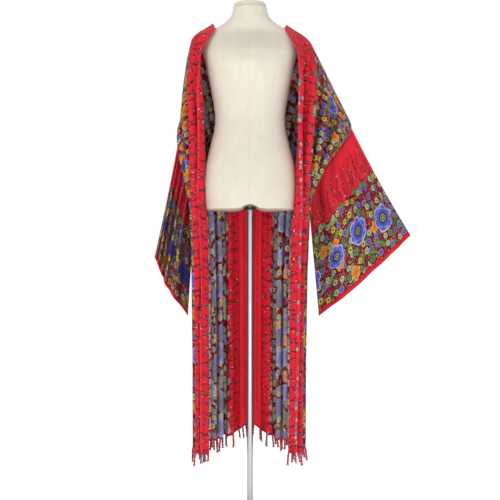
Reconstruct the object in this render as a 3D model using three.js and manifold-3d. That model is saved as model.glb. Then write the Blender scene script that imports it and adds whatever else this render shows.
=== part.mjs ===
// Open kimono robe of one woven cloth, worn on a limbless dress form with a round stand. Millimetres, +Z up.
// The front faces -Y and the wearer's left is +X. The floor is z = 0.
import * as THREE from "three";
import { mergeVertices } from "three/addons/utils/BufferGeometryUtils.js";
import Module from "manifold-3d";

const wasm = await Module();
wasm.setup();

// Rows of numbers become rows with named columns.
function table(names, rows) {
  return rows.map((row) => Object.fromEntries(names.map((name, k) => [name, row[k]])));
}

// Cloth: widths are measured across the flat cloth from its centre line, heights along it.
const WALL = 1.4;
const SEAM = 0.3;
const HALF_WIDTH = 545;
const NECK_HALF = 109;
const LENGTH = 1400;
const ARMHOLE = 430;
const ROLL = 20;
const ROLL_RADIUS = 2.6;
const HEM = { side: 240, back: 286, spread: 105, front: 234 };
const FORM_GAP = 2.2;

// Stand
const BASE = { radius: 180, thick: 8, edge: 2 };
const POLE = { radius: 11, top: 1046.6 };
const SOCKET = { radius: 20, bottom: 1034, top: 1042.9 };
const ARCH = { radius: 40, centre: 1009 };

// The form's rings: half width, depth in front, depth behind.
const TORSO = table(
  ["z", "half", "front", "back"],
  [
    [1031, 146, 104, 106],
    [1037, 149, 107, 109],
    [1080, 153, 110, 113],
    [1124, 155, 110, 112],
    [1180, 150, 105, 104],
    [1240, 135, 96, 90],
    [1300, 120, 88, 80],
    [1342, 116, 87, 78],
    [1400, 124, 94, 83],
    [1460, 136, 108, 93],
    [1515, 147, 118, 100],
    [1555, 158, 106, 102],
    [1580, 164, 84, 93.5],
    [1606, 167, 62, 74],
    [1620, 156, 48, 60],
    [1634, 128, 46, 56],
    [1648, 99, 48, 54],
    [1662, 78, 50, 52],
    [1680, 62, 50, 51],
    [1711, 55, 50, 50],
  ],
);
const TORSO_POWER = 2.3;
const TORSO_SIDES = 28;
const CAP = { z: 1711, top: 1726, half: 53, deep: 48 };

// Fold line over the shoulder and down the top of the arm, by distance across the cloth.
const TOP_LINE = {
  left: [
    { u: 109, z: 1652 },
    { u: 198, z: 1622 },
    { u: 545, z: 1311 },
  ],
  right: [
    { u: 109, z: 1653 },
    { u: 198, z: 1636 },
    { u: 280, z: 1551 },
    { u: 388, z: 1443 },
    { u: 545, z: 1286 },
  ],
};

// Plan of the hanging cloth by height: its front edge, the point it bends round at the side, the seam where
// front and back meet, the point it bends round behind, and the middle of the back.
const HANG_COLUMNS = ["z", "edgeX", "edgeY", "bendX", "bendY", "seamX", "seamY", "rearX", "rearY", "backY"];
const HANG = {
  left: table(HANG_COLUMNS, [
    [1652, 107, -1, 108, 0, 109, 2, 70, 66, 66],
    [1622, 118, -44, 168, -34, 191, 12, 140, 80, 74],
    [1590, 133, -70, 186, -50, 208, 15, 170, 106, 92],
    [1550, 145, -72, 198, -52, 229, 19, 180, 128, 110],
    [1460, 145, -72, 212, -50, 275, 28, 170, 142, 120],
    [1311, 143, -64, 230, -40, 353, 42, 180, 170, 128],
    [1200, 146, -62, 216, -30, 270, 62, 170, 190, 138],
    [1102, 147, -62, 205, -20, 194, 82, 160, 190, 145],
    [1031, 146, -62, 203, -16, 172, 90, 150, 188, 152],
    [830, 138, -60, 196, -12, 160, 92, 142, 186, 166],
    [528, 132, -58, 190, -10, 158, 92, 140, 190, 178],
    [230, 126, -60, 190, -10, 158, 94, 140, 196, 186],
  ]),
  right: table(HANG_COLUMNS, [
    [1653, 103, -1, 104, 0, 105, 2, 70, 66, 66],
    [1636, 112, -38, 162, -30, 190, 12, 140, 76, 72],
    [1590, 136, -70, 186, -50, 201, 18, 170, 106, 92],
    [1551, 147, -72, 196, -52, 212, 24, 180, 128, 110],
    [1443, 149, -72, 205, -48, 228, 36, 176, 146, 122],
    [1286, 148, -66, 212, -34, 243, 54, 176, 170, 130],
    [1200, 148, -64, 208, -28, 220, 68, 168, 188, 138],
    [1090, 150, -62, 204, -20, 190, 84, 160, 190, 146],
    [1031, 149, -62, 203, -16, 172, 90, 150, 188, 152],
    [830, 142, -60, 200, -12, 162, 92, 144, 186, 166],
    [528, 138, -58, 196, -10, 160, 92, 142, 190, 178],
    [230, 136, -60, 196, -10, 160, 94, 142, 196, 186],
  ]),
};

// Outward crest of each fold, by distance across the cloth, and how deep it is.
const FOLDS = {
  left: [
    { u: 128, deep: 0.9 },
    { u: 238, deep: 1.05 },
    { u: 342, deep: 0.95 },
    { u: 452, deep: 1.0 },
  ],
  right: [
    { u: 126, deep: 0.95 },
    { u: 230, deep: 1.0 },
    { u: 338, deep: 1.05 },
    { u: 448, deep: 0.95 },
  ],
  back: [
    { u: -517, deep: 0.95 },
    { u: -418, deep: 1.05 },
    { u: -308, deep: 1.0 },
    { u: -210, deep: 0.95 },
    { u: -100, deep: 0.9 },
    { u: 4, deep: 0.85 },
    { u: 106, deep: 0.9 },
    { u: 204, deep: 1.0 },
    { u: 312, deep: 0.95 },
    { u: 412, deep: 1.05 },
    { u: 519, deep: 0.95 },
  ],
};

// Sleeves: clearance at the armhole, corners of the open end, how far its layers stand apart, and
// the soft folds along the sleeve.
const SLEEVE = {
  left: {
    clear: { out: 1.6, down: 0.8 },
    cuffTop: { x: 556, y: 104, z: 950 },
    cuffLow: { x: 238, y: 120, z: 668 },
    frontBow: [
      { at: 0.25, x: 4, y: -30, z: 2 },
      { at: 0.6, x: 6, y: -38, z: -4 },
    ],
    backBow: [
      { at: 0.3, x: -4, y: 26, z: -4 },
      { at: 0.7, x: -6, y: 34, z: 4 },
    ],
    folds: [
      { at: 0.3, high: 7, wide: 0.07 },
      { at: 0.55, high: -8, wide: 0.08 },
      { at: 0.78, high: 9, wide: 0.07 },
    ],
  },
  right: {
    clear: { out: 2.5, down: 0.4 },
    cuffTop: { x: -333, y: 128, z: 874 },
    cuffLow: { x: -214, y: 92, z: 672 },
    frontBow: [
      { at: 0.3, x: -14, y: -95, z: 44 },
      { at: 0.68, x: -34, y: -84, z: 44 },
    ],
    backBow: [
      { at: 0.3, x: -2, y: 52, z: -30 },
      { at: 0.7, x: 4, y: 56, z: -20 },
    ],
    folds: [
      { at: 0.28, high: 7, wide: 0.07 },
      { at: 0.52, high: -9, wide: 0.08 },
      { at: 0.76, high: 8, wide: 0.07 },
    ],
  },
};
// The right front is two nodes, parted level with the foot of the armhole, so that its collision
// follows it closely.
const PARTED = 0.45;
const FRONT_STRETCHES = {
  left: [{ name: "front_left", from: 0, to: LENGTH }],
  right: [
    { name: "front_right_upper", from: 0, to: ARMHOLE - PARTED },
    { name: "front_right_lower", from: ARMHOLE + PARTED, to: LENGTH },
  ],
};
const CUFF = { wide: 14, out: 0.5, gap: 2.1 };
const ARM_OPEN = 20;

const FRINGE = { strip: 7, pitch: 29, long: 46, sides: 3 };
const GRID = { column: 17, frontRows: 14, backRows: 14, sleeveRows: 6, sleeveRound: 30 };

const clamp01 = (t) => Math.min(1, Math.max(0, t));
const smooth = (t) => clamp01(t) ** 2 * (3 - 2 * clamp01(t));
const mix = (a, b, t) => a + (b - a) * t;

// Reads a row between the rows of a table, along the column named by key.
function between(rows, key, at) {
  const rising = rows[1][key] > rows[0][key];
  let k = 0;
  while (k < rows.length - 2 && (rising ? at > rows[k + 1][key] : at < rows[k + 1][key])) k += 1;
  const t = clamp01((at - rows[k][key]) / (rows[k + 1][key] - rows[k][key]));
  const row = {};
  for (const name of Object.keys(rows[0])) row[name] = mix(rows[k][name], rows[k + 1][name], t);
  return row;
}

// The same, with the table's rows averaged over a short reach so that no kink shows.
function eased(rows, key, at, reach) {
  const sum = {};
  const weights = [1, 2, 3, 2, 1];
  weights.forEach((w, i) => {
    const row = between(rows, key, at + (i - 2) * reach);
    for (const name of Object.keys(row)) sum[name] = (sum[name] || 0) + (row[name] * w) / 9;
  });
  return sum;
}

// How far a point lies outside the form, and which way.
function formDistance(p) {
  const value = (x, y, z) => {
    const ring = between(TORSO, "z", z);
    const deep = y < 0 ? ring.front : ring.back;
    const sum = Math.abs(x / ring.half) ** TORSO_POWER + Math.abs(y / deep) ** TORSO_POWER;
    return sum ** (1 / TORSO_POWER) - 1;
  };
  const step = 0.5;
  const here = value(p.x, p.y, p.z);
  const gx = (value(p.x + step, p.y, p.z) - here) / step;
  const gy = (value(p.x, p.y + step, p.z) - here) / step;
  const gz = (value(p.x, p.y, p.z + step) - here) / step;
  const size = Math.hypot(gx, gy, gz) || 1;
  return { far: here / size, nx: gx / size, ny: gy / size, nz: gz / size };
}

// Cloth that would touch the form is laid just clear of it.
function clearOfForm(p) {
  if (p.z < TORSO[0].z - 30) return p;
  for (let k = 0; k < 3; k += 1) {
    const d = formDistance(p);
    if (d.far < FORM_GAP) {
      p.x += d.nx * (FORM_GAP - d.far);
      p.y += d.ny * (FORM_GAP - d.far);
      p.z += Math.max(0, d.nz) * (FORM_GAP - d.far);
    }
  }
  return p;
}

// Fold depth that uses up a cloth of which the plan takes the share q, and the wave it makes.
function wave(q, deep) {
  const slack = 1 - Math.min(1, Math.max(0.3, q));
  const w = Math.min(1.9, 2 * Math.sqrt(slack) * (1 + 0.16 * slack) * deep);
  const j1 = w / 2 - w ** 3 / 16 + w ** 5 / 384 - w ** 7 / 18432;
  const j2 = w ** 2 / 8 - w ** 4 / 96 + w ** 6 / 3072;
  return { out: 2 * j1, along: j2 };
}

// Phase of the folds across the cloth: a quarter turn at each crest.
function phase(crests, u, first, last) {
  const marks = [{ u: first.u, turn: first.turn, deep: crests[0].deep }];
  crests.forEach((c, i) => marks.push({ u: c.u, turn: i + 0.25, deep: c.deep }));
  marks.push({ u: last.u, turn: last.turn, deep: crests[crests.length - 1].deep });
  const row = between(marks, "u", u);
  let k = 0;
  while (k < marks.length - 2 && u > marks[k + 1].u) k += 1;
  const turns = Math.max(0.05, marks[k + 1].turn - marks[k].turn);
  const pitch = Math.min(140, (marks[k + 1].u - marks[k].u) / turns);
  return { angle: row.turn * 2 * Math.PI, deep: row.deep, pitch };
}

// A curve of two bends in plan: from a to c, drawn towards b.
function bend(a, b, c, t) {
  const at = (p, q, r) => (1 - t) ** 2 * p + 2 * t * (1 - t) * q + t * t * r;
  const along = (p, q, r) => 2 * (1 - t) * (q - p) + 2 * t * (r - q);
  const dx = along(a[0], b[0], c[0]);
  const dy = along(a[1], b[1], c[1]);
  const size = Math.hypot(dx, dy) || 1;
  return { x: at(a[0], b[0], c[0]), y: at(a[1], b[1], c[1]), tx: dx / size, ty: dy / size };
}

function bendLength(a, b, c) {
  const chord = Math.hypot(c[0] - a[0], c[1] - a[1]);
  const legs = Math.hypot(b[0] - a[0], b[1] - a[1]) + Math.hypot(c[0] - b[0], c[1] - b[1]);
  return (chord + legs) / 2;
}

const signOf = (side) => (side === "left" ? 1 : -1);

// Height of a point of the cloth, by its distance across and down.
function heightOf(side, u, v, back) {
  const top = between(TOP_LINE[side], "u", u);
  let start = top.z;
  if (u < NECK_HALF) start -= 7 * (1 - (u / NECK_HALF) ** 2);
  const bottom = back
    ? HEM.side + (HEM.back - HEM.side) * Math.exp(-((u / HEM.spread) ** 2))
    : mix(HEM.front, HEM.side, clamp01((u - NECK_HALF) / 300));
  const squeeze = 1 + 0.383 * clamp01((u - 198) / (HALF_WIDTH - 198));
  return start - (start - bottom) * (v / LENGTH) ** squeeze;
}

// Widest cloth found at a height: the fold line's above the armhole, the whole width below it.
function reachAt(side, z) {
  const line = TOP_LINE[side];
  if (z <= line[line.length - 1].z) return HALF_WIDTH;
  return between(line, "z", z).u;
}

// Share of the armhole passed at a height, 0 at the fold line and 1 at the underarm.
function armShare(side, z) {
  const top = TOP_LINE[side][TOP_LINE[side].length - 1].z;
  const low = heightOf(side, HALF_WIDTH, ARMHOLE, false);
  return clamp01((top - z) / (top - low));
}

function planAt(side, z) {
  const row = eased(HANG[side], "z", z, 14);
  const s = signOf(side);
  const open = ARM_OPEN * Math.sin(Math.PI * armShare(side, z));
  return { ...row, s, open };
}

// A point of the cloth, u across from the centre back and v down from the fold line.
function clothPoint(part, u, v) {
  const back = part === "back";
  const side = back ? (u < 0 ? "right" : "left") : part;
  const across = Math.abs(u);
  const z = heightOf(side, across, v, back);
  const plan = planAt(side, z);
  const reach = Math.max(reachAt(side, z), across);
  const held = z > heightOf(side, HALF_WIDTH, ARMHOLE, back) ? 1 : 0;
  const lean = WALL * (0.42 + 0.1 * smooth((across - 180) / 40)) + SEAM / 2;
  const apart = lean * (1 - smooth(v / 60)) + plan.open;
  let base;
  let fold;
  let used;
  if (back) {
    const a = [plan.seamX, plan.seamY + apart];
    const t = clamp01(1 - across / reach);
    base = bend(a, [plan.rearX, plan.rearY], [0, plan.backY], t);
    used = bendLength(a, [plan.rearX, plan.rearY], [0, plan.backY]) / reach;
    fold = phase(FOLDS.back, u, { u: -HALF_WIDTH, turn: 0 }, { u: HALF_WIDTH, turn: 10.5 });
  } else {
    const c = [plan.seamX, plan.seamY - apart];
    const t = clamp01((across - NECK_HALF) / Math.max(1, reach - NECK_HALF));
    base = bend([plan.edgeX, plan.edgeY], [plan.bendX, plan.bendY], c, t);
    used = bendLength([plan.edgeX, plan.edgeY], [plan.bendX, plan.bendY], c) / Math.max(1, reach - NECK_HALF);
    fold = phase(FOLDS[side], across, { u: NECK_HALF, turn: 0.25 }, { u: HALF_WIDTH, turn: 4 });
  }
  const size = fold.pitch / (2 * Math.PI);
  const w = wave(used, fold.deep);
  const limit = reach < HALF_WIDTH || held ? smooth((reach - across) / 70) : 1;
  const grown = smooth(v / 260) * limit;
  const mirror = back && u > 0 ? -1 : 1;
  const out = w.out * size * Math.sin(fold.angle) * grown;
  const along = -w.along * size * Math.sin(2 * fold.angle) * grown * mirror;
  const x = base.x + base.tx * along + base.ty * out;
  const y = base.y + base.ty * along - base.tx * out;
  return clearOfForm({ x: plan.s * x, y, z });
}

// A closed wall round a grid of points, each moved half the thickness either way along the cloth's normal.
function wall(grid, thick, ring) {
  const rows = grid.length;
  const cols = grid[0].length;
  const inside = (k, count) => Math.min(count - 1, Math.max(0, k));
  const at = (i, j) => grid[inside(i, rows)][ring ? (j + cols) % cols : inside(j, cols)];
  const position = [];
  for (const way of [1, -1])
    for (let i = 0; i < rows; i += 1)
      for (let j = 0; j < cols; j += 1) {
        const across = new THREE.Vector3().subVectors(at(i, j + 1), at(i, j - 1));
        const down = new THREE.Vector3().subVectors(at(i + 1, j), at(i - 1, j));
        const normal = across.cross(down).normalize();
        const p = grid[i][j].clone().addScaledVector(normal, (way * thick) / 2);
        position.push(p.x, p.y, p.z);
      }
  const id = (layer, i, j) => layer * rows * cols + i * cols + ((j + cols) % cols);
  const index = [];
  const quad = (a, b, c, d) => index.push(a, b, c, a, c, d);
  const last = ring ? cols : cols - 1;
  for (let i = 0; i < rows - 1; i += 1)
    for (let j = 0; j < last; j += 1) {
      quad(id(0, i, j), id(0, i, j + 1), id(0, i + 1, j + 1), id(0, i + 1, j));
      quad(id(1, i, j), id(1, i + 1, j), id(1, i + 1, j + 1), id(1, i, j + 1));
    }
  for (let j = 0; j < last; j += 1) {
    quad(id(0, 0, j + 1), id(0, 0, j), id(1, 0, j), id(1, 0, j + 1));
    quad(id(0, rows - 1, j), id(0, rows - 1, j + 1), id(1, rows - 1, j + 1), id(1, rows - 1, j));
  }
  if (!ring)
    for (let i = 0; i < rows - 1; i += 1) {
      quad(id(0, i, 0), id(0, i + 1, 0), id(1, i + 1, 0), id(1, i, 0));
      quad(id(0, i + 1, cols - 1), id(0, i, cols - 1), id(1, i, cols - 1), id(1, i + 1, cols - 1));
    }
  const g = new THREE.BufferGeometry();
  g.setAttribute("position", new THREE.Float32BufferAttribute(position, 3));
  g.setIndex(index);
  return turnedOut(g);
}

// Faces are turned round where the wall was wound inwards.
function turnedOut(g) {
  const p = g.attributes.position;
  const index = Array.from(g.index.array);
  let volume = 0;
  const a = new THREE.Vector3();
  const b = new THREE.Vector3();
  const c = new THREE.Vector3();
  for (let i = 0; i < index.length; i += 3) {
    a.fromBufferAttribute(p, index[i]);
    b.fromBufferAttribute(p, index[i + 1]);
    c.fromBufferAttribute(p, index[i + 2]);
    volume += a.dot(b.cross(c)) / 6;
  }
  if (volume < 0) index.reverse();
  g.setIndex(index);
  return g;
}

const vector = (p) => new THREE.Vector3(p.x, p.y, p.z);

function spread(from, to, pitch) {
  const n = Math.round((to - from) / pitch);
  return Array.from({ length: n + 1 }, (_, i) => mix(from, to, i / n));
}

// Rows stand closer where the cloth leaves the shoulder.
function rowsDown(n) {
  return Array.from({ length: n + 1 }, (_, i) => LENGTH * (0.45 * (i / n) + 0.55 * (i / n) ** 2));
}

// The front edge turned outward on itself: points round the roll and along the turned hem.
function rollPoints(part, v) {
  const turn = NECK_HALF + ROLL;
  const start = vector(clothPoint(part, turn, v));
  const next = vector(clothPoint(part, turn + 9, v));
  const below = vector(clothPoint(part, turn, Math.min(LENGTH, v + 6)));
  const above = vector(clothPoint(part, turn, Math.max(0, v - 6)));
  const along = next.sub(start).normalize();
  const down = below.sub(above).normalize();
  const out = new THREE.Vector3().crossVectors(along, down).normalize();
  if (out.y > 0) out.negate();
  const lift = ROLL_RADIUS * 2;
  const arc = [
    { flat: 1, go: 0.85 * ROLL, up: lift },
    { flat: 0.6, go: 0.3 * ROLL, up: lift },
    { flat: 0.34, go: -0.6 * ROLL_RADIUS, up: 1.7 * ROLL_RADIUS },
    { flat: 0.2, go: -ROLL_RADIUS, up: ROLL_RADIUS },
    { flat: 0.1, go: -0.6 * ROLL_RADIUS, up: 0.3 * ROLL_RADIUS },
  ];
  const open = smooth((v - 40) / 160);
  return arc.map((a) =>
    start
      .clone()
      .addScaledVector(along, mix(-a.flat * ROLL, a.go, open))
      .addScaledVector(out, a.up * open),
  );
}

function frontGrid(part, from, to) {
  const across = spread(NECK_HALF + ROLL, HALF_WIDTH - SEAM / 2, GRID.column);
  const rows = rowsDown(GRID.frontRows).filter((v) => v > from + 20 && v < to - 20);
  return [from, ...rows, to].map((v) => [
    ...rollPoints(part, v),
    ...across.map((u) => vector(clothPoint(part, u, v))),
  ]);
}

function backGrid() {
  const across = spread(-HALF_WIDTH + SEAM / 2, HALF_WIDTH - SEAM / 2, GRID.column);
  return rowsDown(GRID.backRows).map((v) => across.map((u) => vector(clothPoint("back", u, v))));
}

// The armhole's edge: down its front and up its back, f from 0 to 1 to 2.
function armholePoint(side, f) {
  const part = f <= 1 ? side : "back";
  const s = part === "back" ? signOf(side) : 1;
  const share = f <= 1 ? f : 2 - f;
  return vector(clothPoint(part, s * HALF_WIDTH, ARMHOLE * share));
}

// The sleeve's open end, with f as for the armhole.
function cuffPoint(side, f) {
  const k = SLEEVE[side];
  const share = f <= 1 ? f : 2 - f;
  const bow = f <= 1 ? k.frontBow : k.backBow;
  const ends = { x: 0, y: 0, z: 0 };
  const rows = [{ at: 0, ...ends }, ...bow, { at: 1, ...ends }];
  const move = eased(rows, "at", share, 0.06);
  const p = new THREE.Vector3();
  const free = smooth(share * 8) * smooth((1 - share) * 8);
  for (const axis of ["x", "y", "z"]) {
    p[axis] = mix(k.cuffTop[axis], k.cuffLow[axis], share) + move[axis] * free;
  }
  return p;
}

// A point of the sleeve: t from the armhole to the open end, f round it.
function sleevePoint(side, t, f) {
  const k = SLEEVE[side];
  const share = f <= 1 ? f : 2 - f;
  const front = f <= 1 ? -1 : 1;
  const p = armholePoint(side, f).lerp(cuffPoint(side, f), t);
  const fall = smooth(Math.min(share, 1 - share) * 5);
  let high = 14 * Math.sin(Math.PI * t) * fall;
  for (const fold of k.folds) {
    high += fold.high * Math.exp(-(((share - fold.at) / fold.wide) ** 2)) * smooth(t * 3);
  }
  p.x += signOf(side) * k.clear.out * (1 - t) ** 8;
  p.z -= k.clear.down * (1 - t) ** 8;
  p.y += front * high * fall;
  p.z -= 10 * Math.sin(Math.PI * t) * (1 - share);
  return p;
}

function roundSteps(n) {
  return Array.from({ length: n }, (_, j) => (2 * j) / n);
}

function sleeveGrid(side, from, to, rows) {
  const grid = [];
  for (let i = 0; i <= rows; i += 1) {
    const t = mix(from, to, i / rows);
    grid.push(roundSteps(GRID.sleeveRound).map((f) => sleevePoint(side, t, f)));
  }
  return grid;
}

const SLEEVE_LONG = 415;

function torsoGeometry() {
  const position = [];
  const index = [];
  TORSO.forEach((ring) => {
    for (let j = 0; j < TORSO_SIDES; j += 1) {
      const a = (j / TORSO_SIDES) * 2 * Math.PI;
      const round = (t) => Math.sign(t) * Math.abs(t) ** (2 / TORSO_POWER);
      const deep = Math.sin(a) < 0 ? ring.front : ring.back;
      position.push(ring.half * round(Math.cos(a)), deep * round(Math.sin(a)), ring.z);
    }
  });
  const rings = TORSO.length;
  const id = (i, j) => i * TORSO_SIDES + (j % TORSO_SIDES);
  for (let i = 0; i < rings - 1; i += 1)
    for (let j = 0; j < TORSO_SIDES; j += 1) {
      index.push(id(i, j), id(i, j + 1), id(i + 1, j + 1));
      index.push(id(i, j), id(i + 1, j + 1), id(i + 1, j));
    }
  position.push(0, 0, TORSO[0].z, 0, 0, TORSO[rings - 1].z);
  const low = rings * TORSO_SIDES;
  for (let j = 0; j < TORSO_SIDES; j += 1) {
    index.push(low, id(0, j + 1), id(0, j));
    index.push(low + 1, id(rings - 1, j), id(rings - 1, j + 1));
  }
  const g = new THREE.BufferGeometry();
  g.setAttribute("position", new THREE.Float32BufferAttribute(position, 3));
  g.setIndex(index);
  return turnedOut(g);
}

// A closed geometry as a solid that can be joined or cut.
function toSolid(geometry) {
  const bare = geometry.clone();
  bare.deleteAttribute("uv");
  bare.deleteAttribute("normal");
  const merged = mergeVertices(bare, 1e-4);
  const source = merged.index.array;
  const kept = [];
  for (let i = 0; i < source.length; i += 3) {
    const [a, b, c] = [source[i], source[i + 1], source[i + 2]];
    if (a !== b && b !== c && c !== a) kept.push(a, b, c);
  }
  return new wasm.Manifold(
    new wasm.Mesh({
      numProp: 3,
      vertProperties: new Float32Array(merged.attributes.position.array),
      triVerts: new Uint32Array(kept),
    }),
  );
}

function toGeometry(solid) {
  const m = solid.getMesh();
  const g = new THREE.BufferGeometry();
  g.setAttribute("position", new THREE.Float32BufferAttribute(m.vertProperties, 3));
  g.setIndex(Array.from(m.triVerts));
  return g;
}

// The form's underside is arched across its middle.
function formGeometry() {
  const arch = new THREE.CylinderGeometry(ARCH.radius, ARCH.radius, 600, 40);
  arch.translate(0, 0, ARCH.centre);
  return toGeometry(toSolid(torsoGeometry()).subtract(toSolid(arch)));
}

// A round piece about the vertical axis, from a profile of radius and height.
function turned(profile, sides) {
  const points = profile.map(([radius, z]) => new THREE.Vector2(radius, z));
  const lathe = new THREE.LatheGeometry(points, sides).rotateX(Math.PI / 2);
  return turnedOut(lathe);
}

function capGeometry() {
  const { z, top, half, deep } = CAP;
  const profile = [
    [0, z + SEAM],
    [1, z + SEAM],
    [1, top - 4],
    [0.95, top - 1],
    [0.84, top],
    [0, top],
  ];
  return turned(profile, 36).scale(half, deep, 1);
}

// A collar round the top of the pole, under the arch.
function socketGeometry() {
  const bore = POLE.radius + SEAM;
  const { radius, bottom, top } = SOCKET;
  const profile = [
    [bore, bottom],
    [radius, bottom],
    [radius, top],
    [bore, top],
    [bore, bottom],
  ];
  return turned(profile, 32);
}

function poleGeometry() {
  const bottom = BASE.thick + SEAM;
  const profile = [
    [0, bottom],
    [POLE.radius, bottom],
    [POLE.radius, POLE.top],
    [0, POLE.top],
  ];
  return turned(profile, 24);
}

function baseGeometry() {
  const { radius, thick, edge } = BASE;
  const profile = [
    [0, 0],
    [radius, 0],
    [radius, thick - edge],
    [radius - edge, thick],
    [0, thick],
  ];
  return turned(profile, 48);
}

// Tassels hang from a narrow strip that carries on the cloth's lower edge.
function fringeGeometry(part, from, to) {
  const across = spread(from, to, GRID.column);
  const strip = [0, 1].map((i) =>
    across.map((u) => {
      const p = vector(clothPoint(part, u, LENGTH));
      p.z -= SEAM + 0.6 + i * FRINGE.strip;
      return p;
    }),
  );
  let solid = toSolid(wall(strip, WALL, false));
  const count = Math.floor((to - from) / FRINGE.pitch);
  for (let k = 0; k < count; k += 1) {
    const place = ((k + 0.5) / count) * (across.length - 1);
    const j = Math.floor(place);
    const p = strip[0][j].clone().lerp(strip[0][j + 1], place - j);
    const long = FRINGE.long * (0.86 + 0.2 * Math.abs(Math.sin(k * 2.4)));
    const lean = 3 * Math.sin(k * 1.7);
    const rows = [
      { z: -2, wide: 1.9 },
      { z: -long + 14, wide: 3.0 },
      { z: -long, wide: 4.6 },
    ];
    solid = solid.add(tassel(p, rows, lean, long));
  }
  return toGeometry(solid);
}

function tassel(p, rows, lean, long) {
  const position = [];
  const index = [];
  rows.forEach((row) => {
    for (let j = 0; j < FRINGE.sides; j += 1) {
      const a = (j / FRINGE.sides) * 2 * Math.PI;
      const side = (lean * -row.z) / long;
      position.push(p.x + side + row.wide * Math.cos(a), p.y + row.wide * Math.sin(a), p.z + row.z);
    }
  });
  const n = FRINGE.sides;
  const id = (i, j) => i * n + (j % n);
  for (let i = 0; i < rows.length - 1; i += 1)
    for (let j = 0; j < n; j += 1) {
      index.push(id(i, j), id(i + 1, j), id(i + 1, j + 1));
      index.push(id(i, j), id(i + 1, j + 1), id(i, j + 1));
    }
  index.push(0, 1, 2);
  const low = (rows.length - 1) * n;
  index.push(low, low + 2, low + 1);
  const g = new THREE.BufferGeometry();
  g.setAttribute("position", new THREE.Float32BufferAttribute(position, 3));
  g.setIndex(index);
  return toSolid(turnedOut(g));
}

const robe = new THREE.Group();
const CLOTH_RED = 0xb71c2b;
const LINEN = 0xece6d7;
const STEEL = 0xd8d8d8;
const BLACK = 0x2a2826;

function add(name, geometry, color) {
  const mesh = new THREE.Mesh(geometry, new THREE.MeshStandardMaterial({ color }));
  mesh.name = name;
  robe.add(mesh);
}

add("back_panel", wall(backGrid(), WALL, false), CLOTH_RED);
for (const side of ["left", "right"]) {
  const cuffAt = 1 - CUFF.wide / SLEEVE_LONG;
  const sleeveEnd = cuffAt - CUFF.gap / SLEEVE_LONG;
  for (const { name, from, to } of FRONT_STRETCHES[side]) {
    add(name, wall(frontGrid(side, from, to), WALL, false), CLOTH_RED);
  }
  add(`sleeve_${side}`, wall(sleeveGrid(side, 0, sleeveEnd, GRID.sleeveRows), WALL, true), CLOTH_RED);
  add(`cuff_hem_${side}`, wall(sleeveGrid(side, cuffAt, 1, 1), WALL + CUFF.out, true), CLOTH_RED);
}
add("fringe_back", fringeGeometry("back", -HALF_WIDTH + 3, HALF_WIDTH - 3), CLOTH_RED);
add("fringe_front_left", fringeGeometry("left", NECK_HALF + ROLL, HALF_WIDTH - 3), CLOTH_RED);
add("fringe_front_right", fringeGeometry("right", NECK_HALF + ROLL, HALF_WIDTH - 3), CLOTH_RED);
add("dress_form", formGeometry(), LINEN);
add("neck_cap", capGeometry(), LINEN);
add("pole", poleGeometry(), STEEL);
add("pole_socket", socketGeometry(), BLACK);
add("base_plate", baseGeometry(), STEEL);

export default robe;
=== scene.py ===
import math

import bmesh
import bpy
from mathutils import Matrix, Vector


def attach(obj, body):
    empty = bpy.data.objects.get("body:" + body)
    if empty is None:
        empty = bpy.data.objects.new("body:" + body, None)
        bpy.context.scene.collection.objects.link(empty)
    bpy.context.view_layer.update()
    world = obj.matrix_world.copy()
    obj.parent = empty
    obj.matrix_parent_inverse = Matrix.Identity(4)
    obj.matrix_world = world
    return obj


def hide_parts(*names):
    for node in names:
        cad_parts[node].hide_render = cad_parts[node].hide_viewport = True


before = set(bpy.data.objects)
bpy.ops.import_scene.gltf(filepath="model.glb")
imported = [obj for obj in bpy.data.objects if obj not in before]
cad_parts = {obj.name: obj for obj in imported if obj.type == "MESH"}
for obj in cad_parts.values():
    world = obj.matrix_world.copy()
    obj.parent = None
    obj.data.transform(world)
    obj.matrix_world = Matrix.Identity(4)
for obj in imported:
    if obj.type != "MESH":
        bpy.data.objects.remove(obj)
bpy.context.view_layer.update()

# Camera, floor and light. A white studio with four soft boxes in front, one overhead and a pale floor that
# runs into an equally pale surround. The camera stands three metres off, at the height of the hips.
EYE_HEIGHT = 0.900
CAMERA_AWAY = 3.0
PICTURE_WIDTH = 1.675
SENSOR = 36.0
WHITE = (1.0, 1.0, 1.0, 1.0)
FLOOR_PAINT = (0.9, 0.9, 0.9, 1.0)
FLOOR_HALF = 80.0
SKY_SEEN = 1.0
SKY_LIGHT = 0.38


def placed(name, data):
    """A new object in the scene, at the origin."""
    made = bpy.data.objects.new(name, data)
    bpy.context.scene.collection.objects.link(made)
    return made


def mesh_data(name, mesh, *finishes):
    """Closes a bmesh into mesh data with its finishes."""
    data = bpy.data.meshes.new(name)
    mesh.to_mesh(data)
    mesh.free()
    for finish in finishes:
        data.materials.append(finish)
    return data


camera_data = bpy.data.cameras.new("studio_camera")
camera_data.sensor_width = SENSOR
camera_data.lens = SENSOR * CAMERA_AWAY / PICTURE_WIDTH
camera = placed("studio_camera", camera_data)
camera.location = (0, -CAMERA_AWAY, EYE_HEIGHT)
camera.rotation_euler = (math.radians(90), 0, 0)
bpy.context.scene.camera = camera
bpy.context.scene.view_settings.view_transform = "Standard"


def soft_box(name, place, aim, size, watts):
    light = bpy.data.lights.new(name, "AREA")
    light.shape = "RECTANGLE"
    light.size, light.size_y = size
    light.energy = watts
    lamp = placed(name, light)
    lamp.location = place
    lamp.rotation_euler = (Vector(aim) - Vector(place)).to_track_quat("-Z", "Y").to_euler()


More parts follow.
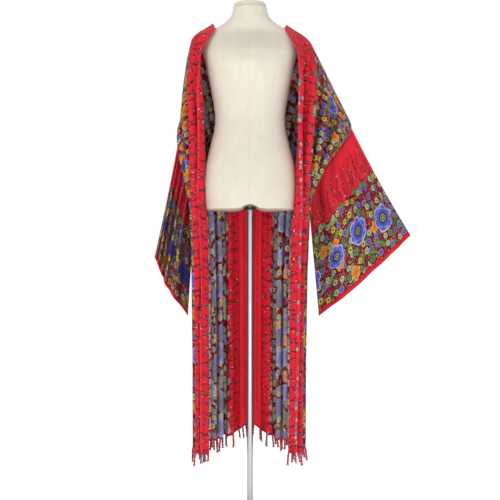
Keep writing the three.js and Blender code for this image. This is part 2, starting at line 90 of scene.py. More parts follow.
soft_box("key_box", (-1.7, -2.7, 2.5), (0, 0, 1.1), (1.3, 1.8), 32)
soft_box("fill_box", (2.4, -2.6, 1.6), (0, 0, 0.9), (1.8, 2.2), 12)
soft_box("top_box", (0.0, 0.6, 3.4), (0, 0, 1.0), (2.2, 2.2), 20)
soft_box("front_box", (0.25, -3.4, 0.75), (0, 0, 0.75), (1.0, 1.2), 10.5)
soft_box("low_box", (0.1, -2.3, 0.3), (0, 0.15, 0.6), (1.0, 0.5), 5)


class Value:
    """What a socket carries. Arithmetic with it, and comparison, adds a maths node to its tree."""

    def __init__(self, wiring, socket):
        self.wiring = wiring
        self.socket = socket

    def __abs__(self):
        return self.wiring.calc("ABSOLUTE", self)


def value_operator(operation, swapped):
    def work(one, other):
        return one.wiring.calc(operation, *((other, one) if swapped else (one, other)))

    return work


for word, operation in (("add", "ADD"), ("sub", "SUBTRACT"), ("mul", "MULTIPLY"), ("truediv", "DIVIDE")):
    setattr(Value, f"__{word}__", value_operator(operation, False))
    setattr(Value, f"__r{word}__", value_operator(operation, True))
for word, operation in (("pow", "POWER"), ("lt", "LESS_THAN"), ("gt", "GREATER_THAN")):
    setattr(Value, f"__{word}__", value_operator(operation, False))


class Wiring:
    """Adds nodes to a tree and joins them."""

    def __init__(self, tree):
        self.tree = tree

    def node(self, kind, **settings):
        made = self.tree.nodes.new(kind)
        for key, value in settings.items():
            setattr(made, key, value)
        return made

    def feed(self, socket, value):
        if isinstance(value, Value):
            self.tree.links.new(value.socket, socket)
        elif isinstance(value, bpy.types.NodeSocket):
            self.tree.links.new(value, socket)
        elif value is not None:
            socket.default_value = value

    def feed_in_order(self, sockets, values):
        for socket, value in zip(sockets, values):
            self.feed(socket, value)

    def named(self, sockets):
        return {socket.name: Value(self, socket) for socket in sockets}

    def fill(self, sockets, **values):
        """Feeds sockets by name, with an underscore for each space in the name."""
        for label, value in values.items():
            self.feed(sockets[label.replace("_", " ")], value)

    def calc(self, operation, *values, clamp=False):
        made = self.node("ShaderNodeMath", operation=operation, use_clamp=clamp)
        self.feed_in_order(made.inputs, values)
        return Value(self, made.outputs[0])

    def vector(self, operation, *values):
        made = self.node("ShaderNodeVectorMath", operation=operation)
        self.feed_in_order(made.inputs, values)
        return Value(self, made.outputs["Value" if operation == "LENGTH" else "Vector"])

    def blend(self, share, under, over):
        made = self.node("ShaderNodeMix", data_type="RGBA")
        self.feed(made.inputs[0], share)
        self.feed(made.inputs[6], under)
        self.feed(made.inputs[7], over)
        return made.outputs[2]

    def scaled(self, color, level):
        made = self.node("ShaderNodeVectorMath", operation="SCALE")
        self.feed(made.inputs[0], color)
        self.feed(made.inputs["Scale"], level)
        return made.outputs[0]

    def noise(self, place, scale, detail=2.0, dimensions="3D"):
        made = self.node("ShaderNodeTexNoise", noise_dimensions=dimensions)
        self.fill(made.inputs, Vector=place, Scale=scale, Detail=detail)
        return Value(self, made.outputs["Fac"])

    def raised(self, shader, height, strength, distance):
        made = self.node("ShaderNodeBump")
        self.fill(made.inputs, Height=height, Strength=strength, Distance=distance)
        self.feed(shader.inputs["Normal"], made.outputs[0])

    def ramp(self, value, stops, sharp=False):
        made = self.node("ShaderNodeValToRGB")
        made.color_ramp.interpolation = "CONSTANT" if sharp else "LINEAR"
        marks = made.color_ramp.elements
        while len(marks) < len(stops):
            marks.new(1.0)
        for mark, (place, color) in zip(marks, stops):
            mark.position = place
            mark.color = color
        self.feed(made.inputs[0], value)
        return made.outputs[0]

    def split(self, vector):
        made = self.node("ShaderNodeSeparateXYZ")
        self.feed(made.inputs[0], vector)
        return [Value(self, socket) for socket in made.outputs]

    def join(self, x, y, z=0.0):
        made = self.node("ShaderNodeCombineXYZ")
        self.feed_in_order(made.inputs, (x, y, z))
        return made.outputs[0]

    def group(self, tree, **values):
        made = self.node("ShaderNodeGroup", node_tree=tree)
        self.fill(made.inputs, **values)
        return self.named(made.outputs)


def new_finish(name, **values):
    """A new material, its wiring and its shader, with the values that are the same all over its surface."""
    finish = bpy.data.materials.new(name)
    finish.use_nodes = True
    w = Wiring(finish.node_tree)
    shader = finish.node_tree.nodes["Principled BSDF"]
    w.fill(shader.inputs, **values)
    return finish, w, shader


world = bpy.data.worlds.new("white_studio")
world.use_nodes = True
w = Wiring(world.node_tree)
sky_level = w.node("ShaderNodeMapRange")
seen = w.node("ShaderNodeLightPath").outputs["Is Camera Ray"]
w.fill(sky_level.inputs, Value=seen, To_Min=SKY_LIGHT, To_Max=SKY_SEEN)
w.fill(world.node_tree.nodes["Background"].inputs, Color=WHITE, Strength=sky_level.outputs[0])
bpy.context.scene.world = world

glow = {"Emission_Color": WHITE, "Emission_Strength": 0.75}
paint = new_finish("pale_floor", Base_Color=FLOOR_PAINT, Roughness=0.9, **glow)[0]
floor_mesh = bmesh.new()
bmesh.ops.create_grid(floor_mesh, x_segments=1, y_segments=1, size=FLOOR_HALF)
floor = placed("studio_floor", mesh_data("studio_floor", floor_mesh, paint))


# Printed cloth. A light woven viscose, printed with generic flowers in lengthwise bands: plain red, dark twigs,
# small flowers and a border of large blooms. Coordinates are metres across and along the flat cloth.
def srgb(red, green, blue):
    def linear(level):
        level /= 255
        return level / 12.92 if level <= 0.04045 else ((level + 0.055) / 1.055) ** 2.4

    return (linear(red), linear(green), linear(blue), 1.0)


SOCKETS = {"Place": "NodeSocketVector", "Color": "NodeSocketColor"}


def new_group(name, inputs, outputs):
    """A group whose sockets all carry numbers, but for a place and a colour."""
    tree = bpy.data.node_groups.new(name, "ShaderNodeTree")
    for way, labels in (("INPUT", inputs), ("OUTPUT", outputs)):
        for label in labels:
            tree.interface.new_socket(label, in_out=way, socket_type=SOCKETS.get(label, "NodeSocketFloat"))
    w = Wiring(tree)
    return w, w.named(w.node("NodeGroupInput").outputs), w.node("NodeGroupOutput").inputs


def scatter_group():
    """Motif centres strewn over a band of the cloth, each with its own turn and two random numbers."""
    w, given, out = new_group(
        "strewn_motifs",
        ["Place", "Pitch", "Jitter", "From", "To"],
        ["Across", "Along", "Away", "Turn", "Kind", "Size", "Inside"],
    )
    cells = w.node("ShaderNodeTexVoronoi", voronoi_dimensions="2D", feature="F1")
    w.fill(cells.inputs, Vector=given["Place"], Scale=1.0 / given["Pitch"], Randomness=given["Jitter"])
    offset = w.split(w.vector("SUBTRACT", given["Place"], cells.outputs["Position"]))
    chance = w.split(cells.outputs["Color"])
    centre = w.split(cells.outputs["Position"])
    angle = chance[0] * (2 * math.pi)
    cosine, sine = w.calc("COSINE", angle), w.calc("SINE", angle)
    across = offset[0] * cosine + offset[1] * sine
    along = offset[1] * cosine - offset[0] * sine
    inside = (centre[0] > given["From"]) * (centre[0] < given["To"])
    away = w.vector("LENGTH", w.join(across, along))
    w.fill(out, Across=across, Along=along, Away=away, Turn=w.calc("ARCTAN2", along, across))
    w.fill(out, Kind=chance[1], Size=chance[2], Inside=inside)
    return w.tree


PETAL_ROUND = 0.6
PETAL_GAP = 0.10
GAP_CENTRE = 0.15


def flower_group():
    """A flower's outline and how far out across its petals a point lies, for any number of petals."""
    w, given, out = new_group("petals", ["Away", "Turn", "Radius", "Petals", "Notch"], ["Out", "Shape", "Gap"])
    wave = abs(w.calc("COSINE", given["Turn"] * (given["Petals"] * 0.5)))
    reach = 1.0 - given["Notch"] + wave**PETAL_ROUND * given["Notch"]
    share = given["Away"] / given["Radius"]
    gap = wave < PETAL_GAP / w.calc("MAXIMUM", share, GAP_CENTRE)
    w.fill(out, Out=share / reach, Shape=share < reach, Gap=gap)
    return w.tree


RED = srgb(211, 36, 52)
DEEP_RED = srgb(172, 27, 45)
TWIG = srgb(46, 24, 42)
LEAF = srgb(88, 126, 46)
PALE_LEAF = srgb(126, 146, 98)
SAGE = srgb(120, 134, 112)
SLATE = srgb(92, 98, 140)
LILAC = srgb(200, 200, 230)
DARK_LEAF = srgb(58, 84, 52)
NAVY = srgb(38, 34, 104)
VIOLET = srgb(78, 82, 176)
PALE_VIOLET = srgb(142, 148, 212)
ORANGE = srgb(216, 126, 38)
YELLOW = srgb(206, 184, 82)
CREAM = srgb(202, 203, 176)
OLIVE = srgb(112, 112, 44)
PURPLE = srgb(66, 48, 130)
BLACK = srgb(24, 16, 26)
RUST = srgb(140, 44, 30)
INK = srgb(44, 20, 44)

# Sizes within the print, in metres, and the pitch, wave and place of each row of twigs.
SPECK = 0.0027
STEM_HALF = 0.0011
STEM_BOW = 0.0045
LEAF_EDGE = 0.0007
RIB_HALF = 0.0005
TWIG_ROWS = ((0.032, 78.0, 0.026), (0.047, 55.0, 0.055))
LEAF_SIZES = ((0.026, 0.7), (0.047, 0.8))
LEAF_SHARE = 0.56
STREAK_FINE = 6.0

strewn = scatter_group()
petals = flower_group()


def print_group():
    """The whole print, band by band across the cloth, and how much of the ground it covers."""
    bands = ["Edge", "Twigs", "Flowers", "Blooms"]
    limits = [f"{band} {limit}" for band in bands for limit in ("from", "to")]
    w, given, out = new_group("flower_print", ["Place", *limits], ["Color", "Cover"])
    place = given["Place"]
    edge, twigs, flowers, blooms = ({"From": given[f"{band} from"], "To": given[f"{band} to"]} for band in bands)
    across, along, _ = w.split(place)
    painted = {"color": RED, "cover": 0.0}

    def lay(share, tone, covers=True):
        painted["color"] = w.blend(share, painted["color"], tone)
        if covers:
            painted["cover"] = w.calc("MAXIMUM", painted["cover"], share)

    def noise(scale, detail=2.0):
        return w.noise(place, scale, detail, "2D")

    # Ground: bright red, deeper between the flowers, with a broken edge between the two.
    shifted = across + (noise(38.0) - 0.5) * 0.06
    dense = (shifted > flowers["From"]) * (shifted < flowers["To"])
    painted["color"] = w.blend(dense, RED, DEEP_RED)

    # Dark tangled stems, tiny leaves and dots fill the ground between the flowers.
    stems = abs(noise(125.0, 1.0) - 0.5) < 0.065
    lay(stems * dense, TWIG, False)
    specks = w.group(strewn, Place=place, Pitch=0.0085, Jitter=0.9, **flowers)
    speck = (specks["Away"] < SPECK) * specks["Inside"]
    tones = [(0.0, BLACK), (0.35, OLIVE), (0.6, NAVY), (0.78, PALE_LEAF), (0.92, RED)]
    lay(speck, w.ramp(specks["Kind"], tones, True), False)

    # Twigs: dark sprays that run across their band at two paces, set with buds and tiny leaves.
    buds = w.group(strewn, Place=place, Pitch=0.0078, Jitter=0.95, **twigs)
    oval = w.vector("LENGTH", w.join(buds["Across"], buds["Along"] * 1.7))
    sprig = (oval < SPECK) * buds["Inside"]
    tones = [(0.0, TWIG), (0.58, SLATE), (0.74, DARK_LEAF), (0.88, SAGE), (0.96, CREAM)]
    sprig_tone = w.ramp(buds["Kind"], tones, True)
    reach = 0.0022 + noise(60.0) * 0.0085
    for pitch, wave, cut in TWIG_ROWS:
        row = (along + cut) / pitch
        number = w.calc("FLOOR", row)
        dice = w.node("ShaderNodeTexWhiteNoise", noise_dimensions="2D")
        w.feed(dice.inputs["Vector"], w.join(number, pitch))
        luck = w.split(dice.outputs["Color"])
        height = (row - number - 0.5) * pitch
        start = twigs["From"] + luck[1] * cut
        end = twigs["To"] - luck[2] * 0.012
        bow = w.calc("SINE", across * wave + luck[0] * 6.28)
        lean = luck[2] * 0.44 - 0.22
        slant = (across - start - 0.035) * lean
        stem = height - bow * STEM_BOW - slant
        tall = abs(stem)
        within = (across > start) * (across < end)
        lay((tall < STEM_HALF) * within, TWIG, False)
        lay(sprig * (tall < reach) * within, sprig_tone, False)

    # Leaves: pointed ovals with a dark edge and a pale rib.
    for size, jitter in LEAF_SIZES:
        leaves = w.group(strewn, Place=place, Pitch=size, Jitter=jitter, **flowers)
        half = leaves["Across"] / (0.5 * size)
        width = (1.0 - half * half) * (0.2 * size)
        off = abs(leaves["Along"])
        grown = (leaves["Kind"] < LEAF_SHARE) * leaves["Inside"]
        blade = (off < width) * grown
        lay(blade, BLACK)
        face = off + LEAF_EDGE < width
        tones = [(0.0, LEAF), (0.2, DARK_LEAF), (0.36, OLIVE), (0.46, PALE_LEAF)]
        lay(face * blade, w.ramp(leaves["Kind"], tones, True))
        lay((off < RIB_HALF) * blade, PALE_LEAF)

    def sow(pitch, jitter, band, radius, count, notch, stops, keep, moved=(0.0, 0.0), inner=()):
        """Adds a layer of one kind of flower, coloured from its centre out and edged with dark ink."""
        here = w.vector("ADD", place, (*moved, 0.0))
        start = band["From"] + moved[0]
        end = band["To"] + moved[0]
        seeds = w.group(strewn, Place=here, Pitch=pitch, Jitter=jitter, From=start, To=end)
        chosen = (seeds["Kind"] > keep[0]) * (seeds["Kind"] < keep[1])
        shown = seeds["Inside"] * chosen
        grown = (0.82 + seeds["Size"] * 0.22) * radius
        turn = seeds["Turn"] + noise(30.0) * 0.5
        for size, twist, tones in [(1.0, 0.0, stops), *inner]:
            shape = {"Turn": turn + twist, "Radius": grown * size, "Petals": count, "Notch": notch}
            bloom = w.group(petals, Away=seeds["Away"], **shape)
            tone = w.ramp(bloom["Out"], tones)
            streak = abs(w.calc("SINE", turn * (2.5 * count))) ** STREAK_FINE
            petal = bloom["Out"] > tones[2][0]
            tone = w.blend(streak * petal * 0.35, tone, tones[1][1])
            tone = w.blend(bloom["Gap"] * petal * 0.75, tone, tones[1][1])
            lay(bloom["Shape"] * shown, tone)

    # Small blossoms in four kinds, two of them again down the left front's edge, then orange sprays, then the
    # large blooms of the border. Each has its tones from the centre out, and is sown at its own pitch.
    yellow = [(0.0, BLACK), (0.28, BLACK), (0.36, YELLOW), (0.82, YELLOW), (0.9, INK)]
    green_white = [(0.0, YELLOW), (0.16, OLIVE), (0.34, PALE_LEAF), (0.76, CREAM), (0.86, INK)]
    rosette = [(0.0, CREAM), (0.2, NAVY), (0.36, VIOLET), (0.7, VIOLET), (0.8, CREAM), (0.9, NAVY)]
    orange = [(0.0, YELLOW), (0.16, RUST), (0.34, ORANGE), (0.78, ORANGE), (0.9, YELLOW), (1.0, INK)]
    sage = [(0.0, YELLOW), (0.14, BLACK), (0.3, OLIVE), (0.6, SAGE), (0.84, INK)]
    petal = [(0.0, NAVY), (0.45, NAVY), (0.62, VIOLET), (0.8, VIOLET), (0.9, PALE_VIOLET), (0.965, LILAC), (1.0, NAVY)]
    front = [(0.0, BLACK), (0.4, NAVY), (0.6, VIOLET), (0.85, VIOLET)]
    front += [(0.93, PALE_VIOLET), (0.98, PALE_VIOLET), (1.0, NAVY)]
    heart = [(0.0, YELLOW), (0.2, OLIVE), (0.52, DARK_LEAF), (0.6, CREAM), (0.68, BLACK), (0.9, NAVY), (1.0, BLACK)]
    disc = [(0.0, NAVY), (0.3, BLACK), (0.5, NAVY), (0.72, PURPLE), (0.9, VIOLET), (0.95, NAVY)]
    disc_front = [(0.0, OLIVE), (0.1, BLACK), (0.3, PURPLE), (0.7, NAVY), (0.88, VIOLET), (0.97, NAVY), (1.0, BLACK)]
    disc_heart = [(0.0, OLIVE), (0.3, BLACK), (0.5, PURPLE), (0.8, NAVY), (0.9, VIOLET), (1.0, BLACK)]
    disc_inner = [(0.7, 0.22, disc_front), (0.36, 0.1, disc_heart)]
    petal_inner = [(0.74, 0.52, front), (0.42, 0.0, heart)]
    sow(0.031, 0.65, flowers, 0.0135, 5.0, 0.32, green_white, (0.0, 0.36))
    sow(0.031, 0.65, flowers, 0.0125, 6.0, 0.26, yellow, (0.36, 0.56))
    sow(0.031, 0.65, flowers, 0.0125, 8.0, 0.2, rosette, (0.56, 1.0))
    sow(0.054, 0.7, flowers, 0.0180, 5.0, 0.34, sage, (0.1, 0.36), (0.033, 0.007))
    sow(0.019, 0.8, edge, 0.0076, 5.0, 0.3, green_white, (0.35, 0.65))
    sow(0.019, 0.8, edge, 0.0076, 7.0, 0.2, rosette, (0.72, 1.0))
    sow(0.062, 0.6, blooms, 0.0225, 5.0, 0.42, orange, (0.3, 0.72), (0.021, 0.013))
    sow(0.124, 0.45, blooms, 0.0360, 14.0, 0.12, disc, (0.38, 1.0), inner=disc_inner)
    sow(0.124, 0.45, blooms, 0.0460, 6.0, 0.22, petal, (0.0, 0.38), inner=petal_inner)
    w.fill(out, Color=painted["color"], Cover=painted["cover"])
    return w.tree


WOVEN_PITCH = 0.0011


def weave_group():
    """Fine threads both ways, with slubs, as a height and a slight change of tone."""
    w, given, out = new_group("weave", ["Place"], ["Height", "Tone"])
    across, along, _ = w.split(given["Place"])
    warp, weft = (w.calc("SINE", way * (2 * math.pi / WOVEN_PITCH)) for way in (across, along))
    slub = w.noise(w.vector("MULTIPLY", given["Place"], (900.0, 60.0, 1.0)), 1.0, dimensions="2D")
    cloud = w.noise(given["Place"], 14.0, dimensions="2D")
    height = warp * 0.5 + weft * 0.5 + slub
    w.fill(out, Height=height, Tone=slub * 0.16 + cloud * 0.14 + 0.85)
    return w.tree


flower_print = print_group()
weave = weave_group()
WRONG_SIDE = srgb(240, 232, 230)
PALED_COVER = 0.42
# Painted light: how much brighter the wrong side's colour is painted, for each unit of paling.
PAINTED_LIGHT_SHARE = 0.55


def cloth_finish(name, spans=None, plain=RED, paling_and_painted_light=0.0):
    """Printed or plain viscose: matt, with a faint sheen. Its wrong side is paler, as the print half goes through, and
    its whole colour is painted lighter as painted light on the shaded wrong side.
    """
    finish, w, shader = new_finish(
        name, Roughness=0.72, Sheen_Weight=0.03, Sheen_Roughness=0.45, Specular_IOR_Level=0.14
    )
    place = w.node("ShaderNodeUVMap", uv_map="cloth").outputs[0]
    threads = w.group(weave, Place=place)
    if spans:
        printed = w.group(flower_print, Place=place, **spans)
        color = printed["Color"]
        if paling_and_painted_light:
            color = w.blend(printed["Cover"] * (PALED_COVER * paling_and_painted_light), color, WRONG_SIDE)
    else:
        color = plain[:3]
    # Painted light: the colour is scaled up with the paling, so the shaded wrong side inside the robe reads brighter
    # than its lighting makes it.
    w.feed(shader.inputs["Base Color"], w.scaled(color, threads["Tone"] * (1 + PAINTED_LIGHT_SHARE * paling_and_painted_light)))
    w.raised(shader, threads["Height"], 0.25, 0.0003)
    return finish


# Back of the robe. One straight length of cloth from side seam to side seam, hanging from the shoulders in deep
# upright folds, cut straight across the neck. Sizes are in millimetres of flat cloth from its centre line.
MM = 0.001
THICK = 1.2
HALF_WIDTH = 545
NECK_HALF = 109
LENGTH = 1400
ARMHOLE = 430
HEM = {"side": 240, "back": 286, "spread": 105, "front": 234}
FORM_GAP = 2.2
ARM_OPEN = 20
NECK_DIP = 7
SHOULDER_END = 198
SIDE_SQUEEZE = 0.383
FOLD_STARTS = 260
EDGE_FLAT = 70
SIGN = {"left": 1, "right": -1}
THREAD_ROW = 22
THREAD_COLUMN = 5.5


def table(names, rows):
    """Rows of numbers become rows with named columns."""
    return [dict(zip(names.split(), row)) for row in rows]


def tables(names, **parts):
    """The same, with a table for each part of the cloth."""
    return {part: table(names, rows) for part, rows in parts.items()}


TORSO = table(
    "z half front back",
    [
        [1031, 146, 104, 106],
        [1037, 149, 107, 109],
        [1080, 153, 110, 113],
        [1124, 155, 110, 112],
        [1180, 150, 105, 104],
        [1240, 135, 96, 90],
        [1300, 120, 88, 80],
        [1342, 116, 87, 78],
        [1400, 124, 94, 83],
        [1460, 136, 108, 93],
        [1515, 147, 118, 100],
        [1555, 158, 106, 102],
        [1580, 164, 84, 93.5],
        [1606, 167, 62, 74],
        [1620, 156, 48, 60],
        [1634, 128, 46, 56],
        [1648, 99, 48, 54],
        [1662, 78, 50, 52],
        [1680, 62, 50, 51],
        [1711, 55, 50, 50],
    ],
)
TORSO_POWER = 2.3

# Fold line over the shoulder and down the top of the arm, by distance across the cloth.
TOP_LINE = tables(
    "u z",
    left=[[109, 1652], [198, 1622], [545, 1311]],
    right=[[109, 1653], [198, 1636], [280, 1551], [388, 1443], [545, 1286]],
)

# Plan of the hanging cloth by height: its front edge, the point it bends round at the side, the seam where
# front and back meet, the point it bends round behind, and the middle of the back.
HANG = tables(
    "z edge_x edge_y bend_x bend_y seam_x seam_y rear_x rear_y back_y",
    left=[
        [1652, 107, -1, 108, 0, 109, 2, 70, 66, 66],
        [1622, 118, -44, 168, -34, 191, 12, 140, 80, 74],
        [1590, 133, -70, 186, -50, 208, 15, 170, 106, 92],
        [1550, 145, -72, 198, -52, 229, 19, 180, 128, 110],
        [1460, 145, -72, 212, -50, 275, 28, 170, 142, 120],
        [1311, 143, -64, 230, -40, 353, 42, 180, 170, 128],
        [1200, 146, -62, 216, -30, 270, 62, 170, 190, 138],
        [1102, 147, -62, 205, -20, 194, 82, 160, 190, 145],
        [1031, 146, -62, 203, -16, 172, 90, 150, 188, 152],
        [830, 138, -60, 196, -12, 160, 92, 142, 186, 166],
        [528, 132, -58, 190, -10, 158, 92, 140, 190, 178],
        [230, 126, -60, 190, -10, 158, 94, 140, 196, 186],
    ],
    right=[
        [1653, 103, -1, 104, 0, 105, 2, 70, 66, 66],
        [1636, 112, -38, 162, -30, 190, 12, 140, 76, 72],
        [1590, 136, -70, 186, -50, 201, 18, 170, 106, 92],
        [1551, 147, -72, 196, -52, 212, 24, 180, 128, 110],
        [1443, 149, -72, 205, -48, 228, 36, 176, 146, 122],
        [1286, 148, -66, 212, -34, 243, 54, 176, 170, 130],
        [1200, 148, -64, 208, -28, 220, 68, 168, 188, 138],
        [1090, 150, -62, 204, -20, 190, 84, 160, 190, 146],
        [1031, 149, -62, 203, -16, 172, 90, 150, 188, 152],
        [830, 142, -60, 200, -12, 162, 92, 144, 186, 166],
        [528, 138, -58, 196, -10, 160, 92, 142, 190, 178],
        [230, 136, -60, 196, -10, 160, 94, 142, 196, 186],
    ],
)

# Smaller creases, each a soft ridge or trough down the cloth: where it lies, how wide and high it is, where it
# starts and ends, and how far it leans to the side in each metre.
CREASES = tables(
    "u wide high start end lean",
    left=[
        [146, 6, -3.0, 60, 900, 4],
        [161, 7, 9.0, 15, 1250, 3],
        [178, 6, -8.0, 20, 1000, 5],
        [196, 8, 10.0, 5, 1060, 9],
        [217, 7, -8.5, 10, 820, 6],
        [248, 9, 5.0, 70, 700, -9],
        [286, 9, -5.0, 160, 1050, 0],
        [330, 8, 5.0, 60, 520, 14],
        [402, 10, -5.5, 40, 600, 12],
    ],
    right=[
        [144, 6, -3.0, 50, 1000, -3],
        [158, 7, 8.5, 15, 1200, 4],
        [174, 7, -8.0, 20, 960, 4],
        [190, 8, 10.5, 5, 1060, 7],
        [212, 7, -9.0, 10, 900, 8],
        [243, 8, 5.5, 60, 640, -6],
        [280, 9, -4.5, 120, 980, 5],
        [322, 9, 5.0, 80, 560, 9],
        [396, 10, -5.0, 60, 640, 10],
    ],
    back=[
        [-388, 10, 5.0, 120, 900, 6],
        [-262, 9, -5.0, 200, 1150, -7],
        [-150, 9, 4.5, 90, 1000, 8],
        [-88, 8, 9.0, 480, 1400, -5],
        [-63, 7, -9.0, 440, 1400, -3],
        [-38, 7, 10.0, 420, 1400, 3],
        [-14, 6, -8.0, 460, 1250, -2],
        [10, 6, 9.0, 410, 1300, 2],
        [33, 7, -8.0, 440, 1400, 5],
        [57, 7, 9.5, 470, 1400, 2],
        [84, 8, -8.0, 560, 1400, 6],
        [154, 9, -4.5, 110, 1100, -6],
        [258, 9, 5.0, 160, 1000, 8],
        [372, 10, -5.0, 200, 980, -5],
    ],
)

# Outward crest of each fold, by distance across the cloth, and how deep it is.
FOLDS = tables(
    "u deep",
    left=[[128, 0.9], [238, 1.05], [342, 0.95], [452, 1.0]],
    right=[[126, 0.95], [230, 1.0], [338, 1.05], [448, 0.95]],
    back=[
        [-517, 0.95],
        [-418, 1.05],
        [-308, 1.0],
        [-210, 0.95],
        [-100, 0.9],
        [4, 0.85],
        [106, 0.9],
        [204, 1.0],
        [312, 0.95],
        [412, 1.05],
        [519, 0.95],
    ],
)


def clamp01(t):
    return min(1.0, max(0.0, t))


def smooth(t):
    t = clamp01(t)
    return t * t * (3 - 2 * t)


def mix(a, b, t):
    return a + (b - a) * t


def between(rows, key, at):
    """Reads a row between the rows of a table, along the column named by key."""
    rising = rows[1][key] > rows[0][key]
    k = 0
    while k < len(rows) - 2 and (at > rows[k + 1][key] if rising else at < rows[k + 1][key]):
        k += 1
    t = clamp01((at - rows[k][key]) / (rows[k + 1][key] - rows[k][key]))
    return {name: mix(rows[k][name], rows[k + 1][name], t) for name in rows[0]}


def eased(rows, key, at, reach):
    """The same, with the table's rows averaged over a short reach so that no kink shows."""
    total = dict.fromkeys(rows[0], 0.0)
    for i, weight in enumerate((1, 2, 3, 2, 1)):
        row = between(rows, key, at + (i - 2) * reach)
        for name in total:
            total[name] += row[name] * weight / 9
    return total


def form_value(x, y, z):
    ring = between(TORSO, "z", z)
    deep = ring["front"] if y < 0 else ring["back"]
    total = abs(x / ring["half"]) ** TORSO_POWER + abs(y / deep) ** TORSO_POWER
    return total ** (1 / TORSO_POWER) - 1


def clear_of_form(x, y, z):
    """Cloth that would touch the form is laid just clear of it."""
    if z < TORSO[0]["z"] - 30:
        return x, y, z
    step = 0.5
    for _ in range(3):
        here = form_value(x, y, z)
        gx = (form_value(x + step, y, z) - here) / step
        gy = (form_value(x, y + step, z) - here) / step
        gz = (form_value(x, y, z + step) - here) / step
        size = math.hypot(gx, gy, gz) or 1
        short = FORM_GAP - here / size
        if short <= 0:
            break
        x += gx / size * short
        y += gy / size * short
        z += max(0.0, gz / size) * short
    return x, y, z


def fold_wave(share, deep):
    """How far a fold swings out and along when the plan takes up only this share of the cloth."""
    slack = 1 - min(1.0, max(0.3, share))
    w = min(1.9, 2 * math.sqrt(slack) * (1 + 0.16 * slack) * deep)
    out = 2 * (w / 2 - w**3 / 16 + w**5 / 384 - w**7 / 18432)
    along = w**2 / 8 - w**4 / 96 + w**6 / 3072
    return out, along


def fold_phase(crests, u, first, last):
    """A full turn from each crest to the next."""
    marks = [{"u": first[0], "turn": first[1], "deep": crests[0]["deep"]}]
    for i, crest in enumerate(crests):
        marks.append({"u": crest["u"], "turn": i + 0.25, "deep": crest["deep"]})
    marks.append({"u": last[0], "turn": last[1], "deep": crests[-1]["deep"]})
    k = 0
    while k < len(marks) - 2 and u > marks[k + 1]["u"]:
        k += 1
    row = between(marks, "u", u)
    turns = max(0.05, marks[k + 1]["turn"] - marks[k]["turn"])
    pitch = min(140.0, (marks[k + 1]["u"] - marks[k]["u"]) / turns)
    return row["turn"] * 2 * math.pi, row["deep"], pitch


def bend(a, b, c, t):
    """A curve in plan from a to c, drawn towards b: its point and its direction."""
    point = [(1 - t) ** 2 * p + 2 * t * (1 - t) * q + t * t * r for p, q, r in zip(a, b, c)]
    way = [2 * (1 - t) * (q - p) + 2 * t * (r - q) for p, q, r in zip(a, b, c)]
    size = math.hypot(*way) or 1
    return point[0], point[1], way[0] / size, way[1] / size


def bend_length(a, b, c):
    return (math.dist(a, c) + math.dist(a, b) + math.dist(b, c)) / 2


def height_of(side, u, v, back):
    """Height of a point of the cloth, by its distance across and down."""
    start = between(TOP_LINE[side], "u", u)["z"]
    if u < NECK_HALF:
        start -= NECK_DIP * (1 - (u / NECK_HALF) ** 2)
    if back:
        bottom = HEM["side"] + (HEM["back"] - HEM["side"]) * math.exp(-((u / HEM["spread"]) ** 2))
    else:
        bottom = mix(HEM["front"], HEM["side"], clamp01((u - NECK_HALF) / 300))
    wave = 4.5 * math.sin(u * 0.043 + (0 if back else 1.9)) + 3 * math.sin(u * 0.104 + len(side))
    bottom += wave * smooth((HALF_WIDTH - u) / EDGE_FLAT)
    squeeze = 1 + SIDE_SQUEEZE * clamp01((u - SHOULDER_END) / (HALF_WIDTH - SHOULDER_END))
    return start - (start - bottom) * (v / LENGTH) ** squeeze


def reach_at(side, z):
    """Widest cloth found at a height."""
    line = TOP_LINE[side]
    return HALF_WIDTH if z <= line[-1]["z"] else between(line, "z", z)["u"]


def crease_height(part, u, v):
    total = 0.0
    for crease in CREASES[part]:
        off = (u - crease["u"] - crease["lean"] * v / 1000) / crease["wide"]
        if abs(off) < 3:
            length = smooth((v - crease["start"]) / 90) * smooth((crease["end"] + 120 - v) / 240)
            total += crease["high"] * math.exp(-off * off) * length
    return total


plans = {}


def plan_at(side, z):
    """The row of the hanging plan at a height, and how far the armhole stands open there."""
    key = (side, round(z, 1))
    if key not in plans:
        row = eased(HANG[side], "z", z, 14)
        top = TOP_LINE[side][-1]["z"]
        low = height_of(side, HALF_WIDTH, ARMHOLE, False)
        row["open"] = ARM_OPEN * math.sin(math.pi * clamp01((top - z) / (top - low)))
        row["arm"] = low
        plans[key] = row
    return plans[key]


